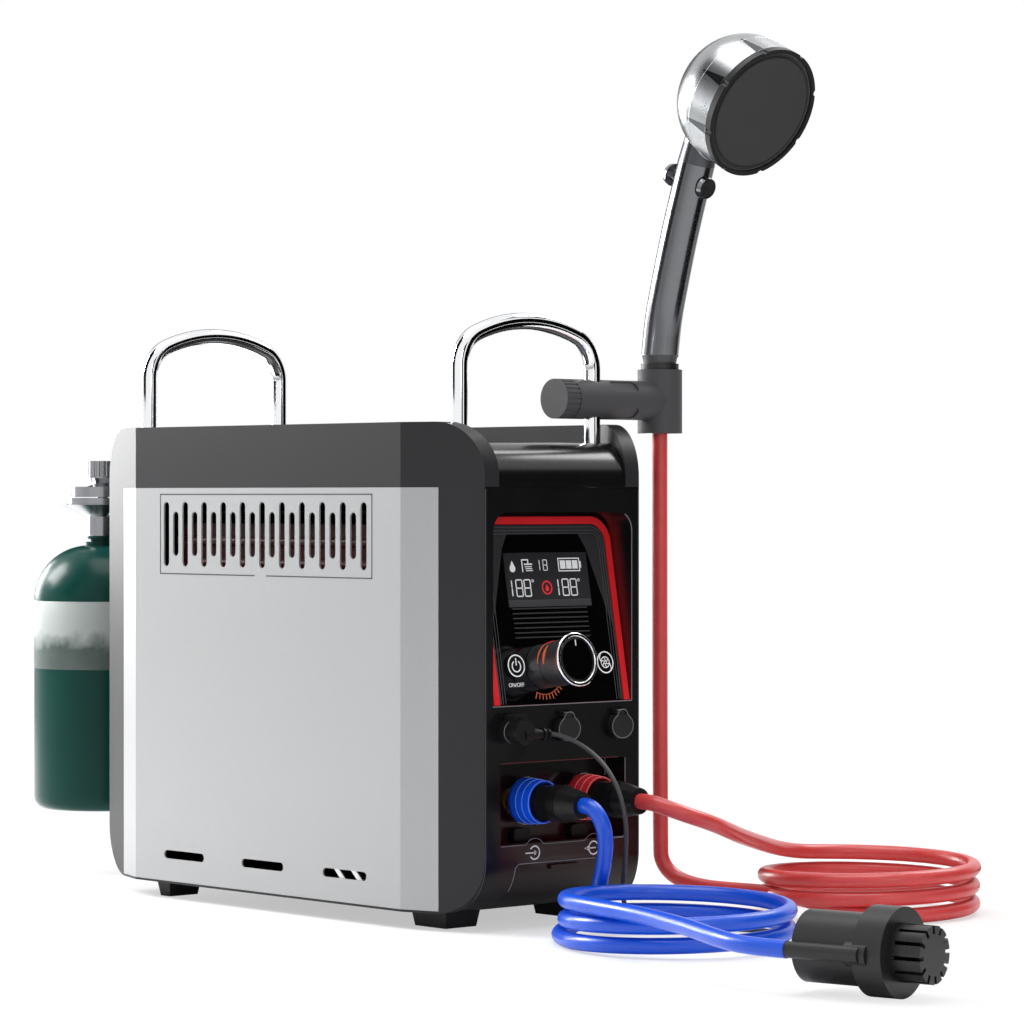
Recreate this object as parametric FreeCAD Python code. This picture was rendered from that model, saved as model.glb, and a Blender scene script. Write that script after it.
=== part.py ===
import FreeCAD, Part
import math
import os

# Portable propane water heater: a floor-standing case with two carrying handles, a control panel and water
# connections in front, a propane cylinder on a regulator behind, a shower handset in a holder on the front
# handle, and a pump at the end of the inlet hose.
#
# Millimetres.  +Z is up, the front faces -Y and +X is to the right of someone who stands facing the panel.
# The origin is on the floor under the middle of the case.

Vector = FreeCAD.Vector
X_AXIS = Vector(1, 0, 0)
Y_AXIS = Vector(0, 1, 0)
Z_AXIS = Vector(0, 0, 1)

# ---------------------------------------------------------------- driving dimensions: case
case_width = 172.0
case_depth = 390.0
case_top = 317.0
foot_height = 11.0
face_width = 132.3
bevel_depth = 57.0
profile_radius = 34.0
shell_wall = 3.0
sheet_wall = 1.2
panel_gap = 0.2
seam_height = 276.5
rail_width = 11.3
cover_top = 304.8
cover_radius = 27.0
cover_wall = 2.5
window_margin = 10.0
sheet_end_margin = 31.3
sheet_bottom = 12.5

# ---------------------------------------------------------------- driving dimensions: grille and vents
slot_width = 6.0
slot_pitch = 20.57
slot_first = 103.6
long_slot_count = 11
long_slot_bottom = 223.7
long_slot_top = 266.8
short_slot_bottom = 230.7
short_slot_top = 260.3
vent_bottom = 27.5
vent_height = 5.7
vent_length = 43.5
vent_centres = (84.3, 0.5, -83.2)

# ---------------------------------------------------------------- driving dimensions: handles
handle_radius = 5.3
handle_half_span = 57.1
handle_inset = 34.0
handle_straight_top = 352.0
handle_crown = 381.7
handle_corner_radius = 23.0
handle_foot = 262.0
bar_bottom = 268.0
bar_thickness = 4.0
bar_half_depth = 10.0
nut_height = 6.0
nut_radius = 9.0
handle_hole_clearance = 0.1
nut_clearance = 0.05

# ---------------------------------------------------------------- driving dimensions: control panel
recess_half_width = 59.2
recess_bottom = 140.5
recess_top = 260.5
recess_corner = 12.0
recess_wall = 2.5
panel_tilt = 10.0
panel_foot_depth = 1.0
panel_thickness = 2.0
panel_fit = 0.1
trim_margin = 1.2
trim_band = 4.8
trim_drop = 3.0
trim_corner = 16.0
trim_thickness = 1.0
display_width = 71.0
display_height = 34.5
display_bottom = 201.0
rib_left = -34.0
rib_right = 31.0
rib_bottom = 182.0
rib_top = 200.0
rib_count = 7
rib_height = 0.6
rib_thickness = 1.0
knob_x = -13.6
knob_z = 163.5
knob_radius = 14.3
knob_gap = 0.4
knob_length = 33.0
knob_ring_radius = 16.5
knob_ring_depth = 2.4
shaft_radius = 3.0
shaft_clearance = 0.05
power_inset = 22.3
pump_button_inset = 19.7
button_z = 164.6
button_radius = 7.6
button_clearance = 0.08
button_proud = 1.9
button_travel = 1.5
board_depth = 12.4
board_thickness = 1.6

# ---------------------------------------------------------------- driving dimensions: sockets
socket_z = 124.5
pump_socket_x = -44.8
fuse_x = 0.7
dc_x = 46.9
socket_width = 19.5
socket_height = 16.0
tab_width = 10.5
tab_top = 135.6
cap_thickness = 3.9
cap_gap = 0.3
cap_pin_radius = 1.0
cap_pin_clearance = 0.05
cap_lug = 1.5

# ---------------------------------------------------------------- driving dimensions: water connections
bay_half_width = 53.3
bay_bottom = 54.0
bay_top = 104.3
bay_depth = 17.5
bay_wall = 2.5
port_x = 24.5
port_z = 80.0
port_thread_radius = 7.0
stub_length = 7.0
connector_ring_radius = 15.0
connector_body_radius = 10.0
collar_radius = 14.5
collar_front_radius = 13.1
collar_start = 3.4
collar_length = 16.0
collar_clearance = 0.05
collar_travel = 3.0
hose_nut_radius = 12.2
hose_nut_reach = 44.0
drain_width = 14.0
drain_height = 8.0
drain_z = 58.4
drain_clearance = 0.1
door_half_width = 40.0
door_top = 41.0
door_gap = 0.3
battery_length = 80.0
battery_height = 32.0

# ---------------------------------------------------------------- driving dimensions: gas side
cylinder_reach = 98.8
cylinder_radius = 49.0
cylinder_bottom = 45.9
cylinder_shoulder = 196.0
cylinder_neck_bottom = 235.0
cylinder_neck_top = 241.8
cylinder_wall = 1.2
cylinder_foot_radius = 9.0
washer_radius = 11.2
neck_ring_radius = 12.7
stem_radius = 10.3
stem_top = 255.8
flare_radius = 29.3
flare_top = 264.5
disc_radius = 24.6
disc_top = 269.4
dial_radius = 22.0
dial_bottom = 270.0
dial_top = 277.4
dial_grip_radius = 10.0
dial_grip_bottom = 283.7
dial_grip_top = 296.0
gas_thread_radius = 8.0
gas_thread_clearance = 0.05
regulator_pipe_radius = 5.5
regulator_pipe_z = 260.2

# ---------------------------------------------------------------- driving dimensions: shower holder
holder_z = 333.0
holder_radius = 12.8
clamp_knob_left = 23.5
clamp_knob_right = 35.6
clamp_gap = 0.4
clamp_screw_radius = 3.0
clamp_screw_end = 49.0
clamp_clearance = 0.05
socket_x = 118.2
holder_socket_radius = 14.6
holder_socket_bottom = 311.8
holder_socket_top = 353.5
holder_socket_bore = 9.0

# ---------------------------------------------------------------- driving dimensions: handset
handset_tail_radius = 8.95
handset_collar_radius = 12.4
handset_collar_top = 363.0
handset_bend = ((0.0, 363.0), (3.5, 388.0), (10.0, 412.0), (17.4, 438.0), (25.6, 463.0), (34.0, 487.0))
handset_radius = 12.2
spray_reach = 89.3
spray_centre_z = 517.3
spray_normal_y = -0.886
spray_normal_z = -0.464
spray_ring_radius = 43.6
spray_face_radius = 40.7
head_rim_radius = 42.6
spool_radius = 4.0
spool_clearance = 0.06
spool_button_radius = 7.5

# ---------------------------------------------------------------- driving dimensions: pump
pump_rear = (-114.3, -516.1, 25.0)
pump_direction = (0.197, -0.980, 0.0)
pump_radius = 20.0
pump_length = 59.0
pump_collar_radius = 24.9
pump_collar_length = 18.0
strainer_radius = 15.9
strainer_length = 19.0
strainer_wall = 1.8
strainer_slot_count = 12
pump_pipe_radius = 4.6
pump_pipe_offset = 24.0
pump_pipe_length = 46.0

# ---------------------------------------------------------------- driving dimensions: hoses and cable
hose_radius = 5.0
cable_radius = 1.5
blue_coil_centre = (-21.0, -317.0)
blue_coil_radius = 68.0
red_coil_centre = (202.0, -270.0)
red_coil_radius = 68.5
red_coil_top = 38.0
blue_coil_top = 34.0

# ---------------------------------------------------------------- worked out from the driving dimensions
case_half_width = case_width / 2
case_half_depth = case_depth / 2
face_half_width = face_width / 2
bevel_width = case_half_width - face_half_width
bevel_slope = math.hypot(bevel_width, bevel_depth)
bevel_nx = bevel_depth / bevel_slope
bevel_ny = bevel_width / bevel_slope
bevel_reach = bevel_nx * face_half_width + bevel_ny * case_half_depth
shell_join = face_half_width
panel_plane_y = -case_half_depth + panel_foot_depth
tilt_sine = math.sin(math.radians(panel_tilt))
tilt_cosine = math.cos(math.radians(panel_tilt))
bay_wall_y = -case_half_depth + bay_depth
sheet_half_length = case_half_depth - sheet_end_margin
handle_y = case_half_depth - handle_inset
trim_half_width = recess_half_width - trim_margin
trim_top = recess_top - trim_drop
power_x = power_inset - recess_half_width
pump_button_x = recess_half_width - pump_button_inset
hose_nut_end = case_half_depth + hose_nut_reach
cylinder_y = case_half_depth + cylinder_reach
holder_y = -handle_y
handset_path = [(holder_y - forward, z) for forward, z in handset_bend]
spray_centre_y = holder_y - spray_reach
FAR = 400.0
CUT_REACH = 5.0
PARALLEL = 1e-6
ROUND_SHARE = 0.998
BEND_SHARE = 0.45
plan_reach = case_half_depth + 50.0


# ---------------------------------------------------------------- small helpers
def box(x0, x1, y0, y1, z0, z1):
    """A box given by its limits."""
    return Part.makeBox(x1 - x0, y1 - y0, z1 - z0, Vector(x0, y0, z0))


def rod(radius, start, direction, length):
    """A solid cylinder."""
    return Part.makeCylinder(radius, length, Vector(*start), Vector(*direction))


def taper(start_radius, end_radius, start, direction, length):
    """A solid cone frustum."""
    return Part.makeCone(start_radius, end_radius, length, Vector(*start), Vector(*direction))


def ring(outer, inner, start, direction, length):
    """A tube with square ends."""
    return rod(outer, start, direction, length).cut(rod(inner, start, direction, length))


def prism(points, direction):
    """Straight extrusion of a closed polygon of 3-D points."""
    corners = [Vector(*point) for point in points]
    face = Part.Face(Part.makePolygon(corners + corners[:1]))
    return face.extrude(Vector(*direction))


def hexagon(radius, start, direction, length):
    """A hexagonal bar; the radius reaches its corners."""
    points = []
    for step in range(6):
        angle = math.radians(60 * step)
        points.append((radius * math.cos(angle), radius * math.sin(angle), 0))
    bar = prism(points, (0, 0, length))
    bar.Placement = FreeCAD.Placement(Vector(*start), FreeCAD.Rotation(Z_AXIS, Vector(*direction)))
    return bar


def turned(profile, start, direction):
    """A turned piece: (radius, station) pairs along an axis, closed onto the axis."""
    points = [Vector(radius, 0, station) for radius, station in profile]
    points = [Vector(0, 0, profile[0][1])] + points + [Vector(0, 0, profile[-1][1])]
    face = Part.Face(Part.makePolygon(points + points[:1]))
    body = face.revolve(Vector(0, 0, 0), Z_AXIS, 360)
    body.Placement = FreeCAD.Placement(Vector(*start), FreeCAD.Rotation(Z_AXIS, Vector(*direction)))
    return body


def joined(shapes):
    """One solid out of several that touch or overlap."""
    first, *rest = shapes
    if not rest:
        return first
    return first.multiFuse(rest).removeSplitter()


def without(shape, cutters):
    """The shape less every cutter."""
    return shape.cut(Part.makeCompound(list(cutters)))


def round_edges(shape, radius, axis, test=None):
    """Fillets the straight edges that run along an axis and whose middle passes the test."""
    edges = []
    for edge in shape.Edges:
        if not isinstance(edge.Curve, Part.Line):
            continue
        middle = edge.CenterOfMass
        if abs(abs(edge.Curve.Direction.dot(axis)) - 1) < PARALLEL and (test is None or test(middle)):
            edges.append(edge)
    return shape.makeFillet(radius, edges)


def obround(width, height, centre_x, centre_z, y0, y1):
    """A plate with round ends left and right (or top and bottom), lying across Y."""
    radius = min(width, height) / 2
    plate = box(centre_x - width / 2, centre_x + width / 2, y0, y1, centre_z - height / 2,
                centre_z + height / 2)
    return round_edges(plate, radius * ROUND_SHARE, Y_AXIS)


def bend_path(points, radii):
    """Straight runs joined by tangent arcs; radii has one value per inner point."""
    corners = [Vector(*point) for point in points]
    edges = []
    start = corners[0]
    for index in range(1, len(corners) - 1):
        corner = corners[index]
        into = (corners[index - 1] - corner).normalize()
        out = (corners[index + 1] - corner).normalize()
        half_open = math.acos(max(-1.0, min(1.0, into.dot(out)))) / 2
        reach = radii[index - 1] / math.tan(half_open)
        entry = corner + into * reach
        leave = corner + out * reach
        bisector = (into + out).normalize()
        centre = corner + bisector * (radii[index - 1] / math.sin(half_open))
        middle = centre - bisector * radii[index - 1]
        edges.append(Part.LineSegment(start, entry).toShape())
        edges.append(Part.Arc(entry, middle, leave).toShape())
        start = leave
    edges.append(Part.LineSegment(start, corners[-1]).toShape())
    return Part.Wire(edges)


def tube_along(path, radius):
    """A solid round bar along a path of lines and arcs."""
    first = path.Edges[0]
    start = first.valueAt(first.FirstParameter)
    direction = first.tangentAt(first.FirstParameter)
    section = Part.Wire([Part.Circle(start, direction, radius).toShape()])
    return path.makePipeShell([section], True, False)


def cord_radii(points):
    """Bend radii of a cord: a share of the shorter run, over the tangent of half the turn."""
    radii = []
    for index in range(1, len(points) - 1):
        into = Vector(*points[index]) - Vector(*points[index - 1])
        out = Vector(*points[index + 1]) - Vector(*points[index])
        turn = into.getAngle(out)
        radii.append(BEND_SHARE * min(into.Length, out.Length) / math.tan(turn / 2))
    return radii


def save(name, shape):
    """Writes one node."""
    if len(shape.Solids) == 1:
        shape = shape.Solids[0]
    if not shape.isValid():
        print("not valid:", name)
    shape.exportStep(os.path.join("parts", name + ".step"))
    print(f"{name:24s} solids {len(shape.Solids)} volume {shape.Volume / 1000:9.2f} cm3")


# ---------------------------------------------------------------- the case's own outline
def side_plan(inset, z0, z1):
    """Prism between the two long sides with their bevels, moved in by an inset."""
    half_width = case_half_width - inset
    bevel_start = (bevel_reach - inset - bevel_nx * half_width) / bevel_ny
    end_x = (bevel_reach - inset - bevel_ny * plan_reach) / bevel_nx
    points = []
    for sx, sy in ((1, 1), (-1, 1), (-1, -1), (1, -1)):
        along = [(sx * half_width, sy * bevel_start, z0), (sx * end_x, sy * plan_reach, z0)]
        if sx * sy < 0:
            along.reverse()
        points.extend(along)
    return prism(points, (0, 0, z1 - z0))


def case_volume(inset):
    """The whole case's outline, moved in by an inset on every side."""
    half_depth = case_half_depth - inset
    length = box(-FAR, FAR, -half_depth, half_depth, foot_height + inset, case_top - inset)
    length = round_edges(length, profile_radius - inset, X_AXIS)
    return length.common(side_plan(inset, 0, FAR))


def mirrored_y(shape):
    """The same piece at the other end of the case."""
    return shape.mirror(Vector(0, 0, 0), Y_AXIS)


def mirrored_x(shape):
    """The same piece on the other side of the case."""
    return shape.mirror(Vector(0, 0, 0), X_AXIS)

os.makedirs("parts", exist_ok=True)


# ---------------------------------------------------------------- case: frames, sheets, cover
sheet_top = seam_height - 2 * panel_gap
case_skin = case_volume(0).cut(case_volume(shell_wall))


def rounded_slot(y0, y1, z0, z1):
    """Cutter with round ends, through both long sides."""
    cutter = box(-FAR, FAR, y0, y1, z0, z1)
    return round_edges(cutter, min(y1 - y0, z1 - z0) / 2 * ROUND_SHARE, X_AXIS)


def side_openings():
    """The grille of long and short upright slots, and the vents along the floor."""
    cutters = []
    for index in range(long_slot_count):
        y = slot_first - index * slot_pitch
        cutters.append(rounded_slot(y - slot_width / 2, y + slot_width / 2,
                                    long_slot_bottom, long_slot_top))
        if index < long_slot_count - 1:
            y = y - slot_pitch / 2
            cutters.append(rounded_slot(y - slot_width / 2, y + slot_width / 2,
                                        short_slot_bottom, short_slot_top))
    for y in vent_centres:
        cutters.append(rounded_slot(y - vent_length / 2, y + vent_length / 2, vent_bottom,
                                    vent_bottom + vent_height))
    return cutters


def sheet_zone(margin):
    """The part of the +X side inside the sheet's edges, moved out by a margin."""
    half_length = sheet_half_length + margin
    return box(shell_join, FAR, -half_length, half_length, sheet_bottom - margin, sheet_top + margin)


def side_frame():
    """Frame of the +X side: the shell round the sheet's window, and the hollow rail above the seam."""
    lower = case_skin.common(box(shell_join, FAR, -FAR, FAR, 0, seam_height))
    above_seam = box(0, FAR, -FAR, FAR, seam_height, FAR)
    rail = case_volume(0).cut(side_plan(rail_width, 0, FAR)).common(above_seam)
    hollow = case_volume(shell_wall).cut(side_plan(rail_width - shell_wall, 0, FAR))
    frame = joined([lower, rail])
    recess = case_volume(0).cut(case_volume(sheet_wall)).common(sheet_zone(panel_gap))
    return without(frame, [hollow.common(above_seam), recess, sheet_zone(-window_margin)])


def side_panel():
    """Slotted sheet of the +X side, folded along the two bevels."""
    sheet = case_volume(0).cut(case_volume(sheet_wall)).common(sheet_zone(0))
    return without(sheet, side_openings())


def cover_volume(inset):
    """The cover's space between the rails, with round front and rear edges."""
    half_depth = case_half_depth - inset
    length = box(-FAR, FAR, -half_depth, half_depth, seam_height - cover_radius, cover_top - inset)
    length = round_edges(length, cover_radius - inset, X_AXIS, lambda middle: middle.z > seam_height)
    above_seam = box(-FAR, FAR, -FAR, FAR, seam_height, FAR)
    return length.common(side_plan(rail_width + panel_gap + inset, 0, FAR)).common(above_seam)


def handle_leg_cutters(radius):
    """Holes for the four handle legs."""
    cutters = []
    for sx in (1, -1):
        for sy in (1, -1):
            cutters.append(rod(radius, (sx * handle_half_span, sy * handle_y, 0), (0, 0, 1), FAR))
    return cutters


def top_cover():
    """Domed lid between the rails."""
    lid = cover_volume(0).cut(cover_volume(cover_wall))
    return without(lid, handle_leg_cutters(handle_radius + handle_hole_clearance))


save("side_frame_right", side_frame())
save("side_frame_left", mirrored_x(side_frame()))
save("side_panel_right", side_panel())
save("side_panel_left", mirrored_x(side_panel()))
save("top_cover", top_cover())


# ---------------------------------------------------------------- case: front shell, rear shell, base, feet
shell_edge = shell_join - panel_gap
shell_top = seam_height - panel_gap
shell_curve_end = case_half_depth - profile_radius
flange_depth = 10.0


def recess_prism(margin, front, back):
    """Display recess moved out by a margin; its back lies the given distance behind the panel's face."""
    def face_y(z):
        return panel_plane_y + (z - recess_bottom) * tilt_sine / tilt_cosine + back / tilt_cosine

    half_width = recess_half_width + margin
    bottom = recess_bottom - margin
    top = recess_top + margin
    points = [(-half_width, front, bottom), (-half_width, face_y(bottom), bottom)]
    points += [(-half_width, face_y(top), top), (-half_width, front, top)]
    space = prism(points, (2 * half_width, 0, 0))
    return round_edges(space, recess_corner + margin, Y_AXIS,
                       lambda middle: middle.z > recess_top - recess_corner)


def end_skin():
    """The curved end of the case at the front, with the flanges that stiffen its upright edges."""
    skin = case_skin.common(box(-shell_edge, shell_edge, -FAR, -shell_curve_end, 0, shell_top))
    inner = case_volume(shell_wall)
    pieces = [skin]
    for sx in (1, -1):
        flange = box(shell_edge - shell_wall, shell_edge,
                     -case_half_depth, flange_depth - case_half_depth, 0, shell_top)
        if sx < 0:
            flange = mirrored_x(flange)
        pieces.append(flange.common(inner))
    return pieces


drain_stem_radius = 3.4
drain_boss_radius = 6.0
socket_body_radius = 6.6
socket_hole_clearance = 0.1
port_hole_clearance = 0.1
boss_depth = 6.0
recess_ledge = 4.0
bore_length = bay_depth + bay_wall + boss_depth + 1.0


def front_shell():
    """Front wall with the display recess, the connector bay, the sockets' holes and the battery opening."""
    front = -case_half_depth
    tray = recess_prism(recess_wall, front, panel_thickness + recess_wall)
    bay = box(-bay_half_width - bay_wall, bay_half_width + bay_wall, front, bay_wall_y + bay_wall,
              bay_bottom - bay_wall, bay_top + bay_wall)
    pieces = end_skin() + [tray, bay]
    for sx in (1, -1):
        pieces.append(rod(drain_boss_radius, (sx * port_x, bay_wall_y, drain_z), (0, 1, 0),
                          bay_wall + boss_depth))
    shell = joined(pieces)
    cutters = [recess_prism(0, -FAR, panel_thickness)]
    cutters.append(recess_prism(-recess_ledge, -FAR, panel_thickness + recess_wall + CUT_REACH))
    cutters.append(box(-bay_half_width, bay_half_width, -FAR, bay_wall_y, bay_bottom, bay_top))
    cutters.append(box(-door_half_width - door_gap, door_half_width + door_gap, -FAR, 0, 0,
                       door_top + door_gap))
    for x in (pump_socket_x, fuse_x, dc_x):
        start = (x, front - CUT_REACH, socket_z)
        cutters.append(rod(socket_body_radius + socket_hole_clearance, start, (0, 1, 0),
                           shell_wall + 2 * CUT_REACH))
    for sx in (1, -1):
        port_radius = port_thread_radius + port_hole_clearance
        cutters.append(rod(port_radius, (sx * port_x, front, port_z), (0, 1, 0), bore_length))
        drain_radius = drain_stem_radius + drain_clearance / 2
        cutters.append(rod(drain_radius, (sx * port_x, front, drain_z), (0, 1, 0), bore_length))
    return without(shell, cutters)


rear_vent_count = 6
rear_vent_height = 4.0
rear_vent_pitch = 9.0
rear_vent_bottom = 188.0
rear_vent_half_length = 42.0
rear_screw_x = 56.0
rear_screw_heights = (60.0, 255.0)
screw_radius = 1.5
screw_head_radius = 3.2
screw_head_height = 1.6
screw_boss_radius = 4.0
screw_length = 9.0


def rear_shell():
    """Rear wall with exhaust slots, the gas inlet's hole and four screw bosses."""
    rear = case_half_depth
    pieces = [mirrored_y(piece) for piece in end_skin()]
    cutters = []
    for x in (rear_screw_x, -rear_screw_x):
        for z in rear_screw_heights:
            pieces.append(rod(screw_boss_radius, (x, rear - shell_wall, z), (0, -1, 0), screw_length))
            cutters.append(rod(screw_radius + handle_hole_clearance, (x, rear, z), (0, -1, 0),
                               2 * screw_length))
    for index in range(rear_vent_count):
        bottom = rear_vent_bottom + index * rear_vent_pitch
        cutters.append(box(-rear_vent_half_length, rear_vent_half_length,
                           rear - CUT_REACH, rear + CUT_REACH, bottom, bottom + rear_vent_height))
    pipe_start = (0, rear - CUT_REACH, regulator_pipe_z)
    cutters.append(rod(regulator_pipe_radius + panel_gap, pipe_start, (0, 1, 0), 2 * CUT_REACH))
    return without(joined(pieces), cutters)


def case_screws():
    """Four screws through the rear shell into its bosses."""
    screws = []
    for x in (rear_screw_x, -rear_screw_x):
        for z in rear_screw_heights:
            head = rod(screw_head_radius, (x, case_half_depth, z), (0, 1, 0), screw_head_height)
            shank = rod(screw_radius, (x, case_half_depth, z), (0, -1, 0), screw_length)
            screws.append(joined([head, shank]))
    return Part.makeCompound(screws)


base_vent_count = 7
base_vent_pitch = 16.0
base_vent_half_length = 40.0
base_vent_half_width = 2.5


def base_plate():
    """Floor of the case between the two curved ends, with air slots under the burner."""
    end = shell_curve_end - panel_gap
    plate = box(-shell_edge, shell_edge, -end, end, foot_height, foot_height + shell_wall)
    slots = []
    for index in range(base_vent_count):
        y = (index - (base_vent_count - 1) / 2) * base_vent_pitch
        slots.append(box(-base_vent_half_length, base_vent_half_length, y - base_vent_half_width,
                         y + base_vent_half_width, 0, foot_height + shell_wall + CUT_REACH))
    return without(plate, slots)


foot_draft = 1.8


def foot(x0, x1, y0, y1):
    """Foot that narrows towards the floor."""
    wires = []
    for z, shrink in ((foot_height, 0.0), (0.0, foot_draft)):
        corners = [(x0 + shrink, y0 + shrink), (x1 - shrink, y0 + shrink)]
        corners += [(x1 - shrink, y1 - shrink), (x0 + shrink, y1 - shrink)]
        points = [Vector(x, y, z) for x, y in corners]
        wires.append(Part.makePolygon(points + points[:1]))
    return Part.makeLoft(wires, True, True)


front_foot_size = (29.0, 33.0)
front_foot_inset = (20.0, 37.0)
rear_foot_size = (27.0, 14.0)
rear_foot_inset = (11.0, 80.4)


def feet(inset, size, sy):
    """Two feet, one on each side, towards the front of the case (sy = -1) or the rear (sy = 1)."""
    x = case_half_width - inset[0]
    y = sy * (case_half_depth - inset[1])
    right = foot(x - size[0], x, y, y + size[1])
    return [right, mirrored_x(right)]


save("front_shell", front_shell())
save("rear_shell", rear_shell())
save("case_screws", case_screws())
save("base_plate", base_plate())
four_feet = feet(front_foot_inset, front_foot_size, -1) + feet(rear_foot_inset, rear_foot_size, 1)
save("feet", Part.makeCompound(four_feet))


# ---------------------------------------------------------------- carrying handles
def handle(y):
    """Bent rod: two upright legs, round shoulders and a shallow crown."""
    shoulder_x = handle_half_span - handle_corner_radius
    rise = handle_crown - handle_straight_top
    span_share = shoulder_x ** 2 + rise ** 2 - handle_corner_radius ** 2
    crown_radius = span_share / (2 * (rise - handle_corner_radius))
    crown_centre = handle_crown - crown_radius
    reach = crown_radius - handle_corner_radius
    lean = math.atan2(shoulder_x, handle_straight_top - crown_centre)

    def on_crown(angle):
        return Vector(crown_radius * math.sin(angle), y, crown_centre + crown_radius * math.cos(angle))

    def shoulder(side):
        angle = (math.pi / 2 + lean) / 2
        x = shoulder_x + handle_corner_radius * math.sin(angle)
        return Vector(side * x, y, handle_straight_top + handle_corner_radius * math.cos(angle))

    def leg_top(side):
        return Vector(side * handle_half_span, y, handle_straight_top)

    def leg_foot(side):
        return Vector(side * handle_half_span, y, handle_foot)

    edges = [Part.LineSegment(leg_foot(-1), leg_top(-1)).toShape()]
    edges.append(Part.Arc(leg_top(-1), shoulder(-1), on_crown(-lean)).toShape())
    edges.append(Part.Arc(on_crown(-lean), on_crown(0), on_crown(lean)).toShape())
    edges.append(Part.Arc(on_crown(lean), shoulder(1), leg_top(1)).toShape())
    edges.append(Part.LineSegment(leg_top(1), leg_foot(1)).toShape())
    return tube_along(Part.Wire(edges), handle_radius)


def handle_crossbars():
    """Steel bars across the case that the handle legs pass through."""
    bars = []
    for sy in (1, -1):
        y = sy * handle_y
        bar = box(-FAR, FAR, y - bar_half_depth, y + bar_half_depth, bar_bottom, bar_bottom + bar_thickness)
        bar = bar.common(side_plan(shell_wall, 0, FAR))
        bars.append(without(bar, handle_leg_cutters(handle_radius + handle_hole_clearance)))
    return bars


def handle_nuts():
    """Hexagonal nuts that hold the four legs under the bars."""
    nuts = []
    for sx in (1, -1):
        for sy in (1, -1):
            start = (sx * handle_half_span, sy * handle_y, bar_bottom - nut_height)
            nut = hexagon(nut_radius, start, (0, 0, 1), nut_height)
            nuts.append(nut.cut(rod(handle_radius + nut_clearance, start, (0, 0, 1), nut_height)))
    return nuts


save("handle_front", handle(-handle_y))
save("handle_rear", handle(handle_y))
save("handle_brackets", Part.makeCompound(handle_crossbars() + handle_nuts()))


# ---------------------------------------------------------------- control panel
def on_panel(shape):
    """Places a shape drawn as (across, up the panel, out of the panel) on the tilted panel."""
    place = FreeCAD.Placement(Vector(0, panel_plane_y, recess_bottom),
                              FreeCAD.Rotation(X_AXIS, 90 - panel_tilt))
    moved = shape.copy()
    moved.Placement = place.multiply(moved.Placement)
    return moved


def up_panel(z):
    """Distance up the panel of a height."""
    return (z - recess_bottom) / tilt_cosine


display_foot = up_panel(display_bottom)
display_head = display_foot + display_height
knob_v = up_panel(knob_z)
button_v = up_panel(button_z)
encoder_half = 7.0
bushing_radius = 4.5
standoff_radius = 3.0
standoff_x = 47.0
board_half_width = 50.0
board_foot = 8.0
board_head = 46.0
switch_half = 3.0
switch_height = 4.0
button_flange_radius = 9.0
button_stem_radius = 2.0
button_flange_thickness = 1.3
button_flange_depth = 1.8
switch_gap = 0.3
trim_foot = 0.2
window_proud = 0.2
module_margin = 1.5
module_depth = 5.0
display_board_margin = 5.0
chip_x = 10.0
chip_rise = 8.0
chip_side = 14.0
chip_height = 2.0
encoder_front = 5.0
bushing_length = 6.0
shaft_depth = 9.7
knob_rear_step = 0.4
knob_groove_foot = 12.6
knob_groove_top = 13.5
knob_groove_depth = 0.8
knob_rim_width = 2.2
knob_disc_depth = 0.6


def display_plate(margin, n0, n1):
    """Rectangle of the display, moved out by a margin, between two distances from the panel's face."""
    half_width = display_width / 2 + margin
    return box(-half_width, half_width, display_foot - margin, display_head + margin, n0, n1)


def control_panel():
    """Panel plate with moulded ribs, cut for the display, the knob and two buttons, on standoffs."""
    plate = recess_prism(-panel_fit, -FAR, panel_thickness).cut(recess_prism(panel_fit, -FAR, 0))
    pieces = [plate]
    for x in (-standoff_x, standoff_x):
        for v in (board_foot + standoff_radius, board_head - standoff_radius):
            pieces.append(on_panel(rod(standoff_radius, (x, v, -board_depth), (0, 0, 1), board_depth - 1)))
    rib_pitch = (up_panel(rib_top) - up_panel(rib_bottom)) / (rib_count - 1)
    for index in range(rib_count):
        v = up_panel(rib_bottom) + index * rib_pitch
        rib = box(rib_left, rib_right, v - rib_thickness / 2, v + rib_thickness / 2,
                  -panel_thickness / 2, rib_height)
        pieces.append(on_panel(rib))
    cutters = [display_plate(panel_fit, -CUT_REACH, CUT_REACH)]
    cutters.append(rod(bushing_radius + panel_fit, (knob_x, knob_v, -CUT_REACH), (0, 0, 1), 2 * CUT_REACH))
    for x in (power_x, pump_button_x):
        hole_radius = button_radius + button_clearance
        cutters.append(rod(hole_radius, (x, button_v, -CUT_REACH), (0, 0, 1), 2 * CUT_REACH))
    return without(joined(pieces), [on_panel(cutter) for cutter in cutters])


def panel_trim():
    """Red band round the top and sides of the panel."""
    top = up_panel(trim_top)
    outer = box(-trim_half_width, trim_half_width, trim_foot, top, 0, trim_thickness)
    outer = round_edges(outer, trim_corner, Z_AXIS, lambda middle: middle.y > top / 2)
    inner_half = trim_half_width - trim_band
    inner = box(-inner_half, inner_half, -CUT_REACH, top - trim_band, -CUT_REACH, CUT_REACH)
    inner = round_edges(inner, trim_corner - trim_band, Z_AXIS, lambda middle: middle.y > top / 2)
    return on_panel(outer.cut(inner))


def display_window():
    """Clear window of the display."""
    return on_panel(display_plate(0, -panel_thickness, window_proud))


def display_board():
    """Display module behind the window, on its circuit board."""
    module_back = -panel_thickness - module_depth
    module = display_plate(module_margin, module_back, -panel_thickness)
    board = display_plate(display_board_margin, module_back - board_thickness, module_back)
    return on_panel(joined([module, board]))


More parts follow.
